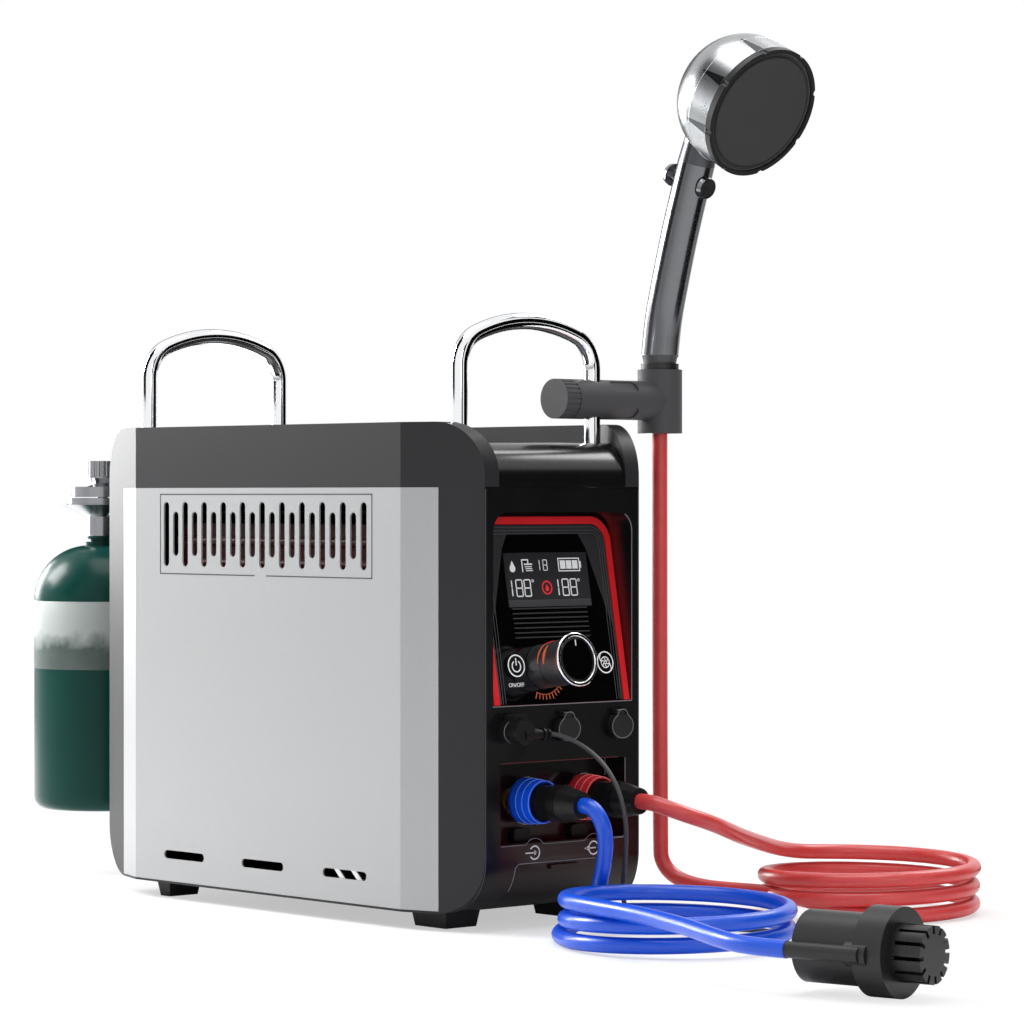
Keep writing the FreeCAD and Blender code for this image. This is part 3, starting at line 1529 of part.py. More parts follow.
# ---------------------------------------------------------------- handset
spray_axis_out = Vector(0, spray_normal_y, spray_normal_z).normalize()
spray_axis_in = spray_axis_out * -1
spray_centre = Vector(socket_x, spray_centre_y, spray_centre_z)
handset_points = [(socket_x, y, z) for y, z in handset_path]
handset_end = Vector(*handset_points[-1])
handset_lean = (handset_end - Vector(*handset_points[-2])).normalize()
spool_drop = 13.0
spool_crossing = handset_end - handset_lean * spool_drop
spool_axis = Vector(0, handset_lean.z, -handset_lean.y)
spray_fit = 0.06
ring_gap = 0.4
face_proud = 4.0
head_recess = 5.0
hose_joint_gap = 0.3
handset_collar_height = 3.6
handset_waist = 1.6
handset_waist_top = 0.4
pause_reach_front = 15.7
pause_reach_rear = 17.8
pause_button_height = 3.1
pause_button_taper = 0.8
dome_edge_station = 16.0
dome_outer = ((37.8, 35.0), (21.0, 49.5), 52.0)
dome_inner = ((34.2, 33.0), (18.0, 45.5), 47.0)
dome_wall = 3.0
dome_rim_step = 0.4
head_neck_length = 30.0
head_neck_taper = 1.5
head_neck_bore = 5.0
seat_inner_radius = 36.0
seat_thickness = 2.5
spray_lip_margin = 2.5
spray_notch_count = 8
spray_notch_radius = 2.4
spray_notch_offset = 1.2


def on_spray_axis(station):
    """Point on the spray axis, a distance behind the head's rim."""
    return spray_centre + spray_axis_in * station


def handset_handle():
    """Bent grip on a round tail that turns in the holder's socket, with two collars and the valve's bore."""
    grip = tube_along(bend_path(handset_points, cord_radii(handset_points)), handset_radius)
    tail_foot = holder_socket_bottom + hose_joint_gap
    tail = rod(handset_tail_radius, (socket_x, holder_y, tail_foot), (0, 0, 1),
               handset_collar_top - tail_foot)
    collar_foot = holder_socket_top + hose_joint_gap
    lower = rod(handset_collar_radius, (socket_x, holder_y, collar_foot), (0, 0, 1), handset_collar_height)
    waist_foot = collar_foot + handset_collar_height
    neck = taper(handset_radius - handset_waist, handset_radius - handset_waist_top,
                 (socket_x, holder_y, waist_foot),
                 (0, 0, 1), handset_collar_top - waist_foot)
    bore_start = spool_crossing - spool_axis * 2 * handset_radius
    bore = rod(spool_radius + spool_clearance, bore_start, spool_axis, 4 * handset_radius)
    return joined([grip, tail, lower, neck]).cut(bore)


def pause_valve():
    """Valve spool across the grip with a round push button at each end."""
    front = spool_crossing - spool_axis * pause_reach_front
    rear_foot = spool_crossing + spool_axis * pause_reach_rear
    edge_radius = spool_button_radius - pause_button_taper
    spool = rod(spool_radius, front + spool_axis, spool_axis, pause_reach_front + pause_reach_rear)
    front_button = taper(edge_radius, spool_button_radius, front, spool_axis, pause_button_height)
    rear_button = taper(spool_button_radius, edge_radius, rear_foot, spool_axis, pause_button_height)
    return joined([spool, front_button, rear_button])


def dome_volume(rim_radius, rim_station, shoulder, crown, closing):
    """Domed solid about +Z, from its flat front to the point behind."""
    corners = [Vector(0, 0, rim_station), Vector(rim_radius, 0, rim_station),
               Vector(rim_radius, 0, dome_edge_station)]
    arc = Part.Arc(corners[2], Vector(shoulder[0], 0, shoulder[1]), Vector(crown[0], 0, crown[1])).toShape()
    back = Vector(0, 0, closing)
    edges = [Part.LineSegment(corners[0], corners[1]).toShape(),
             Part.LineSegment(corners[1], corners[2]).toShape()]
    edges += [arc, Part.LineSegment(Vector(crown[0], 0, crown[1]), back).toShape()]
    edges.append(Part.LineSegment(back, corners[0]).toShape())
    return Part.Face(Part.Wire(edges)).revolve(Vector(0, 0, 0), Z_AXIS, 360)


def along_spray(shape):
    """Turns a shape drawn about +Z so that +Z points from the rim into the head."""
    moved = shape.copy()
    moved.Placement = FreeCAD.Placement(spray_centre, FreeCAD.Rotation(Z_AXIS, spray_axis_in))
    return moved


def shower_head():
    """Hollow domed head on a short neck, with a recess for the spray face."""
    outer = dome_volume(head_rim_radius + dome_rim_step, 0, *dome_outer)
    hollow = dome_volume(head_rim_radius - dome_wall, head_recess, *dome_inner)
    recess = rod(spray_face_radius + spray_fit, on_spray_axis(-1), spray_axis_in, head_recess + 1)
    neck = taper(handset_radius, handset_radius - head_neck_taper, handset_end, handset_lean,
                 head_neck_length)
    neck_bore = rod(head_neck_bore, handset_end, handset_lean, head_neck_length)
    neck = neck.cut(along_spray(hollow))
    shell = along_spray(outer).cut(along_spray(hollow)).cut(recess)
    seat = ring(spray_face_radius + 1, seat_inner_radius, on_spray_axis(head_recess), spray_axis_in,
                seat_thickness)
    return joined([shell, neck, seat]).cut(neck_bore)


def spray_face():
    """Round spray plate with a low raised centre."""
    plate = rod(spray_face_radius, on_spray_axis(-face_proud + 1), spray_axis_in,
                head_recess + face_proud - 1)
    lip = rod(spray_face_radius - spray_lip_margin, on_spray_axis(-face_proud), spray_axis_in,
              face_proud / 2)
    return joined([plate, lip])


def spray_ring():
    """Notched selector ring that turns on the spray plate in front of the head's rim."""
    length = face_proud + 1.0 - ring_gap
    start = on_spray_axis(-ring_gap - length)
    band = ring(spray_ring_radius, spray_face_radius + spray_fit, start, spray_axis_in, length)
    notches = []
    across = Vector(1, 0, 0)
    up = spray_axis_in.cross(across)
    for index in range(spray_notch_count):
        angle = 2 * math.pi * (index + 0.5) / spray_notch_count
        radial = across * math.cos(angle) + up * math.sin(angle)
        notch_start = start - spray_axis_in + radial * (spray_ring_radius + spray_notch_offset)
        notches.append(rod(spray_notch_radius, notch_start, spray_axis_in, length + 2))
    return without(band, notches)


save("handset_handle", handset_handle())
save("pause_valve", pause_valve())
save("shower_head", shower_head())
save("spray_face", spray_face())
save("spray_ring", spray_ring())


# ---------------------------------------------------------------- pump
pump_axis = Vector(*pump_direction).normalize()
pump_side = Vector(pump_axis.y, -pump_axis.x, 0)
pump_origin = Vector(*pump_rear)
collar_station = pump_length - pump_collar_length
strainer_seat = 3.0
gland_station = 12.0
gland_length = 8.0
gland_radius = 4.2
boss_length = 14.0
boss_radius = 6.6
boss_back = 5.0
boss_inset = 3.5
collar_flat_depth = 2.6
collar_flat_drop = 17.0
web_half_thickness = 1.2
strainer_fit = 0.05
inlet_radius = 11.0
inlet_recess = 4.0
cage_front_wall = 2.5
cage_slot_half_width = 1.1
cage_slot_depth = 4.5
cage_slot_start = 2.0


def pump_point(station, side=0.0, up=0.0):
    """Point given along the pump's axis, towards its outlet side, and up."""
    return pump_origin + pump_axis * station + pump_side * side + Z_AXIS * up


def pump_body():
    """Pump housing: motor barrel, wide collar with a flat, outlet pipe beside it, cable gland."""
    barrel = rod(pump_radius, pump_point(0), pump_axis, collar_station + 1)
    collar = rod(pump_collar_radius, pump_point(collar_station), pump_axis, pump_collar_length)
    half_flat = pump_collar_radius - collar_flat_depth
    flat_edge = 2 * pump_collar_radius
    flat_start = collar_station - 1
    corners = ((half_flat, -flat_edge), (half_flat, -collar_flat_drop), (flat_edge, -collar_flat_drop),
               (flat_edge, -flat_edge))
    flat_points = [pump_point(flat_start, side, up) for side, up in corners]
    side_flat = prism(flat_points, pump_axis * (pump_collar_length + 2))
    pipe = rod(pump_pipe_radius, pump_point(0, pump_pipe_offset), pump_axis, pump_pipe_length)
    corners = ((pump_radius - 2, -web_half_thickness), (pump_radius - 2, web_half_thickness),
               (pump_pipe_offset, web_half_thickness), (pump_pipe_offset, -web_half_thickness))
    web_points = [pump_point(0, side, up) for side, up in corners]
    web = prism(web_points, pump_axis * pump_pipe_length)
    boss_start = pump_point(collar_station - boss_back, pump_pipe_offset - boss_inset)
    boss = rod(boss_radius, boss_start, pump_axis, boss_length)
    gland = rod(gland_radius, pump_point(gland_station, 2 - pump_radius), pump_side * -1, gland_length)
    seat_start = pump_point(pump_length - strainer_seat)
    cutters = [side_flat]
    cutters.append(rod(strainer_radius + strainer_fit, seat_start, pump_axis, pump_length))
    cutters.append(rod(inlet_radius, pump_point(collar_station + inlet_recess), pump_axis, pump_length))
    return without(joined([barrel, collar, pipe, web, boss, gland]), cutters)


def pump_strainer():
    """Strainer cage: a slotted tube with a notched front disc."""
    start = pump_point(pump_length - strainer_seat)
    length = strainer_seat + strainer_length
    cage = rod(strainer_radius, start, pump_axis, length)
    hollow_length = length + 1 - cage_front_wall
    cage = cage.cut(rod(strainer_radius - strainer_wall, start - pump_axis, pump_axis, hollow_length))
    slots = []
    for index in range(strainer_slot_count):
        angle = 2 * math.pi * (index + 0.5) / strainer_slot_count
        slot = box(strainer_radius - cage_slot_depth, strainer_radius + CUT_REACH, -cage_slot_half_width,
                   cage_slot_half_width, strainer_seat + cage_slot_start, length + 1)
        slot.rotate(Vector(0, 0, 0), Z_AXIS, math.degrees(angle))
        along_pump = FreeCAD.Placement(start, FreeCAD.Rotation(Z_AXIS, pump_axis))
        slot.Placement = along_pump.multiply(slot.Placement)
        slots.append(slot)
    return without(cage, slots)


save("pump_body", pump_body())
save("pump_strainer", pump_strainer())


# ---------------------------------------------------------------- hoses and cable
red_hose_points = [
    (24.5, -239, 80), (24.5, -248.5, 80), (28, -259, 77), (36, -267, 73), (47.5, -271, 69), (61, -270, 65),
    (77, -264, 60.5), (100, -252, 55), (127, -236.5, 49.5), (155, -221, 44), (181, -208, 39),
    (206, -202.5, 35), (229, -207, 33.8), (248, -219.5, 33.2),
]
red_riser_points = [
    (118.2, -161, 311.8), (118.2, -161, 40), (119.1, -162, 31.5), (121.8, -166.2, 24), (126, -174.8, 18.5),
    (131, -189.6, 15.5), (135.5, -210.4, 15), (138.9, -236.4, 15.3), (141.2, -263, 13.6), (143.8, -287, 10),
    (149, -307, 6.6), (158.3, -322, 5.2), (173.3, -332.5, 5.1),
]
blue_hose_points = [
    (-24.5, -239, 80), (-24.5, -244.6, 80), (-24.1, -249.5, 77.4), (-23, -252.9, 72.7),
    (-20.6, -254.2, 65.3),
    (-17.4, -251.9, 54.8), (-14.6, -247.4, 45), (-12, -242, 35), (-11.4, -238.6, 25.5), (-15.3, -237, 16.2),
    (-23.8, -237.4, 9.6), (-36, -239.8, 6.2), (-50.5, -246.6, 5.1), (-63.5, -259.2, 5.1), (-74, -275, 5.1),
]
blue_lead_points = [
    (-80, -284, 28.6), (-87, -303, 28.8), (-91.2, -327, 28.5), (-95.5, -356, 28.2), (-106, -391, 28),
    (-122, -431, 27.8), (-137, -466, 26.6), (-143.13, -494.3, 25), (-137.8, -520.8, 25),
]
pump_cable_points = [
    (-19.5, -204, 122.5), (-13.5, -207.6, 121.3), (-9, -215.8, 117.5), (-6, -226, 112), (-4.5, -237, 104),
    (-4, -246, 94), (-3.5, -252, 82), (-2.5, -254.5, 69), (-1, -253, 56), (1.5, -249.5, 44), (5, -244, 32),
    (9.2, -239, 20.5), (16, -237, 11), (26, -241.5, 4.5), (40, -255, 2), (56, -279, 1.6), (68, -310, 1.7),
    (73, -345, 1.6), (67, -385, 1.7), (49, -428, 1.6), (21, -466, 1.7), (-12, -494, 1.6), (-42, -509, 2.6),
    (-60, -515.3, 8), (-74, -519.1, 17), (-86, -522.2, 24),
]


def cord_tube(name, points, radius):
    """One stretch of hose or cable as a tube of straight runs and tangent arcs."""
    radii = cord_radii(points)
    path = bend_path(points, radii)
    tube = tube_along(path, radius)
    expected = math.pi * radius ** 2 * path.Length
    print(f"{name}: length {path.Length:.0f} mm, smallest bend {min(radii):.1f} mm, "
          f"volume over section times length {tube.Volume / expected:.4f}")
    return tube


floor_gap = 0.1


def coil(centre, radius, top):
    """Outer shape of a hose coil lying on the floor."""
    start = (centre[0], centre[1], floor_gap)
    return ring(radius + hose_radius, radius - hose_radius, start, (0, 0, 1), top - floor_gap)


save("red_hose", cord_tube("red_hose", red_hose_points, hose_radius))
save("red_riser", cord_tube("red_riser", red_riser_points, hose_radius))
save("red_coil", coil(red_coil_centre, red_coil_radius, red_coil_top))
save("blue_hose", cord_tube("blue_hose", blue_hose_points, hose_radius))
save("blue_lead", cord_tube("blue_lead", blue_lead_points, hose_radius))
save("blue_coil", coil(blue_coil_centre, blue_coil_radius, blue_coil_top))
save("pump_cable", cord_tube("pump_cable", pump_cable_points, cable_radius))
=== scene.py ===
import bpy
import bmesh
import math
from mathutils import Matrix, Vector


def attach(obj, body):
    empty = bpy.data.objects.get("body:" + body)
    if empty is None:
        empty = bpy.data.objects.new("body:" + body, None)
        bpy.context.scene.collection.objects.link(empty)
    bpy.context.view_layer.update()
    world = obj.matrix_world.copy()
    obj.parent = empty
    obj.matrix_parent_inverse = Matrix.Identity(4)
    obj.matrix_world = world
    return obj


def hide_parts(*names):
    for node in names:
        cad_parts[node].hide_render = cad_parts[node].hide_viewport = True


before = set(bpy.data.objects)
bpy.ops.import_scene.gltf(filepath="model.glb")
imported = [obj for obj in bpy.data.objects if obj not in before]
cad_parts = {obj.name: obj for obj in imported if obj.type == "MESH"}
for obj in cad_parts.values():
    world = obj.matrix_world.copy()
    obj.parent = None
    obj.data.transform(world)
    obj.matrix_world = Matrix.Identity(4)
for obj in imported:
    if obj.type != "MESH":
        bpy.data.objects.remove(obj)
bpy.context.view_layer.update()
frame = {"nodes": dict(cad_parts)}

bl_info = {
    "name": "Portable propane water heater",
    "version": (1, 0, 0),
    "blender": (4, 5, 0),
    "location": "3D View > Sidebar > Heater",
    "description": "Finishes, hoses, cable, display and small parts of a portable propane water heater",
    "category": "Object",
}

NODES = frame["nodes"]
MM = 0.001
CASE = "case"
SHARP_EDGE = math.radians(30.0)
BEAD_SIDES = 8
PANEL_TILT = math.radians(10.0)
TILT_SINE, TILT_COSINE = math.sin(PANEL_TILT), math.cos(PANEL_TILT)
PANEL_OUT = (0.0, -TILT_COSINE, TILT_SINE)
PANEL_FACE = (-194.0, 140.5)  # y and z of the panel's lower edge, in millimetres


# ---------------------------------------------------------------- settings that a user would change
def length_property(name, description, millimetres, smallest=0.1):
    """A length in metres, shown in the scene's own unit."""
    return bpy.props.FloatProperty(
        name=name, description=description, default=millimetres * MM, min=smallest * MM, unit="LENGTH"
    )


def code_property(name, description, code):
    """A colour as the eye sees it, as a hex code."""
    return bpy.props.StringProperty(name=name, description=description, default=code)


class HeaterSizes(bpy.types.PropertyGroup):
    """Sizes of the printed and added details, and of the hoses."""

    hose_diameter: length_property("Hose diameter", "Outer diameter of the water hoses", 10.0)
    cable_diameter: length_property("Cable diameter", "Outer diameter of the pump's cable", 3.0)
    print_height: length_property("Print height", "How far printed lines stand proud", 0.12, 0.01)
    line_width: length_property("Line width", "Width of the fine printed lines", 0.5, 0.05)
    rib_step: length_property("Step spacing", "Distance between the fine steps inside the red trim", 2.1, 0.5)


class HeaterColours(bpy.types.PropertyGroup):
    """Colours of the main finishes."""

    sheet: code_property("Side sheets", "Paint of the side sheets", "a7a8a9")
    frame: code_property("Side frames", "Plastic of the side frames", "252527")
    shell: code_property("Front shell", "Gloss plastic of the front", "0e0e0f")
    trim: code_property("Panel trim", "Band round the panel", "dc262c")
    cold: code_property("Cold water", "Inlet hose", "0058e8")
    hot: code_property("Hot water", "Outlet hose", "e84a4a")
    cylinder: code_property("Cylinder", "Paint of the gas cylinder", "06352f")


# ---------------------------------------------------------------- small tools: colour, nodes, meshes
def linear(code):
    """sRGB hex code to linear red, green, blue and alpha."""
    channels = []
    for start in (0, 2, 4):
        value = int(code[start:start + 2], 16) / 255
        channels.append(value / 12.92 if value <= 0.04045 else ((value + 0.055) / 1.055) ** 2.4)
    return (*channels, 1.0)


def add(tree, kind, sockets=None, **settings):
    """Adds one node; sockets maps an input's name or number to a value, an output or a node.

    A node stands for its first output; settings are the new node's own properties.
    """
    made = tree.nodes.new(kind)
    for name, value in settings.items():
        setattr(made, name, value)
    for key, value in (sockets or {}).items():
        if isinstance(value, bpy.types.Node):
            value = value.outputs[0]
        if isinstance(value, bpy.types.NodeSocket):
            tree.links.new(value, made.inputs[key])
        else:
            made.inputs[key].default_value = value
    return made


def blank_material(name):
    """A material, its node tree, and the output of its one node, which gives the object's own places."""
    material = bpy.data.materials.new(name)
    material.use_nodes = True
    tree = material.node_tree
    tree.nodes.clear()
    return material, tree, add(tree, "ShaderNodeTexCoord").outputs["Object"]


def per_metre(millimetres):
    """Texture scale at which one grain or cell is this many millimetres wide."""
    return 1.0 / (millimetres * MM)


def mesh_object(name, vertices, faces, smooth=False):
    """A mesh object made from lists of points and faces, with its normals turned outwards."""
    mesh = bpy.data.meshes.new(name)
    mesh.from_pydata([tuple(point) for point in vertices], [], faces)
    sides = bmesh.new()
    sides.from_mesh(mesh)
    bmesh.ops.remove_doubles(sides, verts=sides.verts, dist=1e-6)
    bmesh.ops.recalc_face_normals(sides, faces=sides.faces)
    sides.to_mesh(mesh)
    sides.free()
    made = bpy.data.objects.new(name, mesh)
    bpy.context.scene.collection.objects.link(made)
    if smooth:
        mesh.shade_smooth()
    return made


def finished(made, material, body=CASE):
    """Gives a piece its material, and rides it on a body."""
    made.data.materials.clear()
    made.data.materials.append(material)
    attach(made, body)
    return made


def soften(made, millimetres):
    """Rounds a piece's sharp edges."""
    bevel = made.modifiers.new("rounded", "BEVEL")
    bevel.width = millimetres * MM
    bevel.segments = 2
    bevel.limit_method = "ANGLE"
    bevel.angle_limit = SHARP_EDGE
    return made


def revolved(name, profile, centre, axis, steps=96):
    """A turned piece from (radius, station) pairs in millimetres, along an axis from a centre in metres."""
    turn = Vector((0, 0, 1)).rotation_difference(Vector(axis))
    vertices = []
    for radius, station in profile:
        radius, station = radius * MM, station * MM
        for step in range(steps):
            angle = 2 * math.pi * step / steps
            local = Vector((radius * math.cos(angle), radius * math.sin(angle), station))
            vertices.append(Vector(centre) + turn @ local)
    faces = []
    for row in range(len(profile) - 1):
        for step in range(steps):
            after = (step + 1) % steps
            low, high = row * steps, (row + 1) * steps
            faces.append((low + step, low + after, high + after, high + step))
    return mesh_object(name, vertices, faces, smooth=True)


def slabs(name, outlines, thickness, place):
    """One object of flat pieces: closed 2-D outlines, their thickness, and a function that places a point."""
    vertices, faces = [], []
    for outline in outlines:
        low, count = len(vertices), len(outline)
        high = low + count
        vertices += [place(x, y, out) for out in (0.0, thickness) for x, y in outline]
        faces += [tuple(range(low, high)), tuple(range(high, high + count))]
        for index in range(count):
            after = (index + 1) % count
            faces.append((low + index, low + after, high + after, high + index))
    return mesh_object(name, vertices, faces)


def bar_faces(first, rows):
    """Faces of a four-sided bar whose rows each hold the corners 0, 1 below and 2, 3 above."""
    faces = []
    for row in range(rows - 1):
        a = first + 4 * row
        b = a + 4
        faces += [(a, a + 1, b + 1, b), (a + 2, a + 3, b + 3, b + 2), (a, a + 2, b + 2, b),
                  (a + 1, a + 3, b + 3, b + 1)]
    return faces + [(end, end + 1, end + 3, end + 2) for end in (first, first + 4 * (rows - 1))]


def bead(radius, station, half):
    """Profile of a thin round ring, for a turned piece."""
    angles = [2 * math.pi * step / BEAD_SIDES for step in range(BEAD_SIDES + 1)]
    return [(radius + half * math.cos(angle), station + half * math.sin(angle)) for angle in angles]


def stroke(points, width, closed=False):
    """Outlines of a line of constant width along 2-D points, as one four-sided outline per run."""
    runs = []
    count = len(points)
    for index in range(count if closed else count - 1):
        start, end = Vector(points[index]), Vector(points[(index + 1) % count])
        along = (end - start).normalized()
        across = Vector((-along.y, along.x)) * width / 2
        overlap = along * width / 2
        start, end = start - overlap, end + overlap
        runs.append([start - across, end - across, end + across, start + across])
    return runs


def band(points, width):
    """One outline per run of a curved line, mitred so that neighbouring runs share their edge."""
    sides = []
    for index, here in enumerate(points):
        before, after = points[max(index - 1, 0)], points[min(index + 1, len(points) - 1)]
        along = (Vector(after) - Vector(before)).normalized()
        across = Vector((-along.y, along.x)) * width / 2
        sides.append((Vector(here) - across, Vector(here) + across))
    return [[near[0], far[0], far[1], near[1]] for near, far in zip(sides, sides[1:])]


def arc(centre, radius, start, end, steps):
    """2-D points along an arc, angles in degrees."""
    points = []
    for step in range(steps + 1):
        angle = math.radians(start + (end - start) * step / steps)
        points.append((centre[0] + radius * math.cos(angle), centre[1] + radius * math.sin(angle)))
    return points


def rectangle(x0, y0, x1, y1):
    """2-D outline of a rectangle."""
    return [(x0, y0), (x1, y0), (x1, y1), (x0, y1)]


# ---------------------------------------------------------------- materials
COLOUR_A, COLOUR_B, COLOUR_MIX = 6, 7, 2  # the Mix node's two colour inputs and its colour output
DARKEST_GLOSS = 0.03
HANDSET_COLLAR_TOP, HANDSET_BAND_TOP = 357.4, 363.0
LABEL_FADE = (172.0, 184.0)
FEED_PITCH = 0.5
# heights over which the fins' painted glow fades out, in millimetres
FIN_GLOW = (205.0, 252.0)
# the recess and the patch round the bay, where the front shell has painted red reflection and glow
RECESS_X, RECESS_Z = (-59.4, 59.4), (140.4, 260.7)
BAY_REFLECTION_X, BAY_REFLECTION_Z = (-50.0, 54.0), (46.0, 75.0)


def shaded(code, factor):
    """A hex colour made lighter or darker by a factor."""
    return (*(min(1.0, value * factor) for value in linear(code)[:3]), 1.0)


def uneven(name, grains, tint, gloss=None, bump=None, **sockets):
    """A material whose colour, gloss and height each follow a noise.

    grains holds each noise's grain in millimetres and its detail. tint is a noise's number and two colours,
    gloss a noise's number and two roughnesses, bump a noise's number, a strength and a height in millimetres.
    sockets are the values that are the same all over, with _ for the spaces in their names.
    """
    material, tree, place = blank_material(name)
    noise = [
        add(tree, "ShaderNodeTexNoise", {"Vector": place, "Scale": per_metre(grain), "Detail": detail})
        for grain, detail in grains
    ]
    colours = {0: noise[tint[0]], COLOUR_A: tint[1], COLOUR_B: tint[2]}
    shade = add(tree, "ShaderNodeMix", colours, data_type="RGBA")
    plugs = {socket.replace("_", " "): value for socket, value in sockets.items()}
    plugs["Base Color"] = shade.outputs[COLOUR_MIX]
    if gloss:
        spread = {"Value": noise[gloss[0]], "To Min": gloss[1], "To Max": gloss[2]}
        plugs["Roughness"] = add(tree, "ShaderNodeMapRange", spread)
    if bump:
        relief = {"Height": noise[bump[0]], "Strength": bump[1], "Distance": bump[2] * MM}
        plugs["Normal"] = add(tree, "ShaderNodeBump", relief)
    surface = add(tree, "ShaderNodeBsdfPrincipled", plugs)
    add(tree, "ShaderNodeOutputMaterial", {"Surface": surface})
    return material


def textured_abs(name, code, grain=0.9, roughness=0.5, shine=0.22):
    """ABS from a spark-eroded mould: an even fine grain keeps its highlights broad and soft."""
    return uneven(
        name, [(grain, 3.0), (60.0, 2.0)], (1, linear(code), shaded(code, 1.14)),
        (0, roughness - 0.06, roughness + 0.08), (0, 0.06, 0.2), IOR=1.53, Specular_IOR_Level=shine,
    )


def polished_abs(name, code, roughness, shine=0.5):
    """ABS from a polished mould: deep colour and clear reflections, waved a little by the mould's flow."""
    return uneven(
        name, [(25.0, 2.0), (4.0, 4.0)], (0, shaded(code, 0.9), shaded(code, 1.1)),
        (1, max(DARKEST_GLOSS, roughness - 0.04), roughness + 0.05), (0, 0.05, 0.3), IOR=1.52,
        Specular_IOR_Level=shine,
    )


def moulded_rubber(name, code, roughness=0.62):
    """Moulded synthetic rubber: dull, with a dusty bloom that greys it in patches."""
    return uneven(
        name, [(9.0, 6.0), (0.8, 2.0)], (0, linear(code), shaded(code, 1.6)), None, (1, 0.08, 0.2),
        Roughness=roughness, IOR=1.52,
    )


def extruded_polyurethane(name, code):
    """Extruded polyurethane tube: a wet-looking skin, a little deeper in colour than its code and uneven in a
    noise.
    """
    return uneven(
        name, [(14.0, 2.0)], (0, shaded(code, 0.7), shaded(code, 0.9)), (0, 0.3, 0.36), (0, 0.008, 0.4),
        IOR=1.5, Coat_Weight=0.12, Coat_Roughness=0.12,
    )


def stove_enamel(name, code):
    """Gloss enamel baked over a drawn steel shell: smooth, with a very soft orange peel."""
    return uneven(
        name, [(3.0, 2.0), (40.0, 2.0)], (1, linear(code), shaded(code, 1.2)), None, (0, 0.05, 0.3),
        Roughness=0.3, IOR=1.5, Specular_IOR_Level=0.12, Coat_Weight=0.06, Coat_Roughness=0.18,
    )


def raw_metal(name, code, blotch, roughness):
    """Rolled or cast metal with no finish: cloudy and soft in its shine."""
    return uneven(
        name, [(blotch, 5.0)], (0, shaded(code, 0.75), linear(code)), (0, roughness, roughness + 0.2),
        Metallic=1.0,
    )


def screen_ink(name, code, glow=0.0):
    """A flat even colour, slightly thinner in patches: screen-printed ink, lit segments, and the lines and
    marks of painted highlight and glow.
    """
    return uneven(
        name, [(1.2, 3.0)], (0, shaded(code, 0.85), linear(code)), Roughness=0.5, Emission_Color=linear(code),
        Emission_Strength=glow,
    )


def inside_range(tree, value, limits, edge):
    """A mask that is 1 while a value lies between two limits and fades over an edge, all in millimetres."""
    low, high, fade = limits[0] * MM, limits[1] * MM, edge * MM
    rise = add(tree, "ShaderNodeMapRange", {"Value": value, "From Min": low - fade, "From Max": low})
    fall = add(tree, "ShaderNodeMapRange", {
        "Value": value, "From Min": high, "From Max": high + fade, "To Min": 1.0, "To Max": 0.0,
    })
    both = {0: rise, 1: fall}
    return add(tree, "ShaderNodeMath", both, operation="MULTIPLY")


def lit_gloss_abs(name, code, painted_recess_red, painted_bay_red):
    """Polished black ABS with painted light: a red reflection and glow on the recess walls beside the red
    trim, and a wine-red reflection round the bay.
    """
    material, tree, place = blank_material(name)
    flow = add(tree, "ShaderNodeTexNoise", {"Vector": place, "Scale": per_metre(25.0), "Detail": 2.0})
    x, _, z = add(tree, "ShaderNodeSeparateXYZ", {"Vector": place}).outputs
    out = add(tree, "ShaderNodeVectorMath", {0: place, 1: PANEL_OUT}, operation="DOT_PRODUCT")
    face = (PANEL_FACE[1] * TILT_SINE - PANEL_FACE[0] * TILT_COSINE) * MM
    near = add(tree, "ShaderNodeMapRange", {
        "Value": out.outputs["Value"], "From Min": face + 0.5 * MM, "From Max": face + 14.0 * MM,
        "To Min": 1.0, "To Max": 0.0,
    }, interpolation_type="SMOOTHSTEP")
    recess = add(tree, "ShaderNodeMath", {
        0: inside_range(tree, x, RECESS_X, 0.2), 1: inside_range(tree, z, RECESS_Z, 0.2),
    }, operation="MULTIPLY")
    recess = add(tree, "ShaderNodeMath", {0: recess, 1: near}, operation="MULTIPLY")
    # painted reflection: a wine-red patch on the black round the bay
    bay = add(tree, "ShaderNodeMath", {
        0: inside_range(tree, z, BAY_REFLECTION_Z, 26.0), 1: inside_range(tree, x, BAY_REFLECTION_X, 10.0),
    }, operation="MULTIPLY")
    shade = add(tree, "ShaderNodeMix", {
        0: bay, COLOUR_A: linear(code), COLOUR_B: linear(painted_bay_red),
    }, data_type="RGBA")
    # painted reflection and glow of the red trim on the recess walls, fading out away from the panel
    shade = add(tree, "ShaderNodeMix", {
        0: recess, COLOUR_A: shade.outputs[COLOUR_MIX], COLOUR_B: linear(painted_recess_red),
    }, data_type="RGBA")
    glow = add(tree, "ShaderNodeMath", {0: recess, 1: 0.12}, operation="MULTIPLY")
    gloss = add(tree, "ShaderNodeMapRange", {"Value": flow, "To Min": 0.18, "To Max": 0.28})
    bump = add(tree, "ShaderNodeBump", {"Height": flow, "Strength": 0.05, "Distance": 0.3 * MM})
    surface = add(tree, "ShaderNodeBsdfPrincipled", {
        "Base Color": shade.outputs[COLOUR_MIX], "Roughness": gloss,
        "Normal": bump, "IOR": 1.52, "Specular IOR Level": 0.3,
        "Emission Color": linear(painted_recess_red), "Emission Strength": glow,
    })
    add(tree, "ShaderNodeOutputMaterial", {"Surface": surface})
    return material


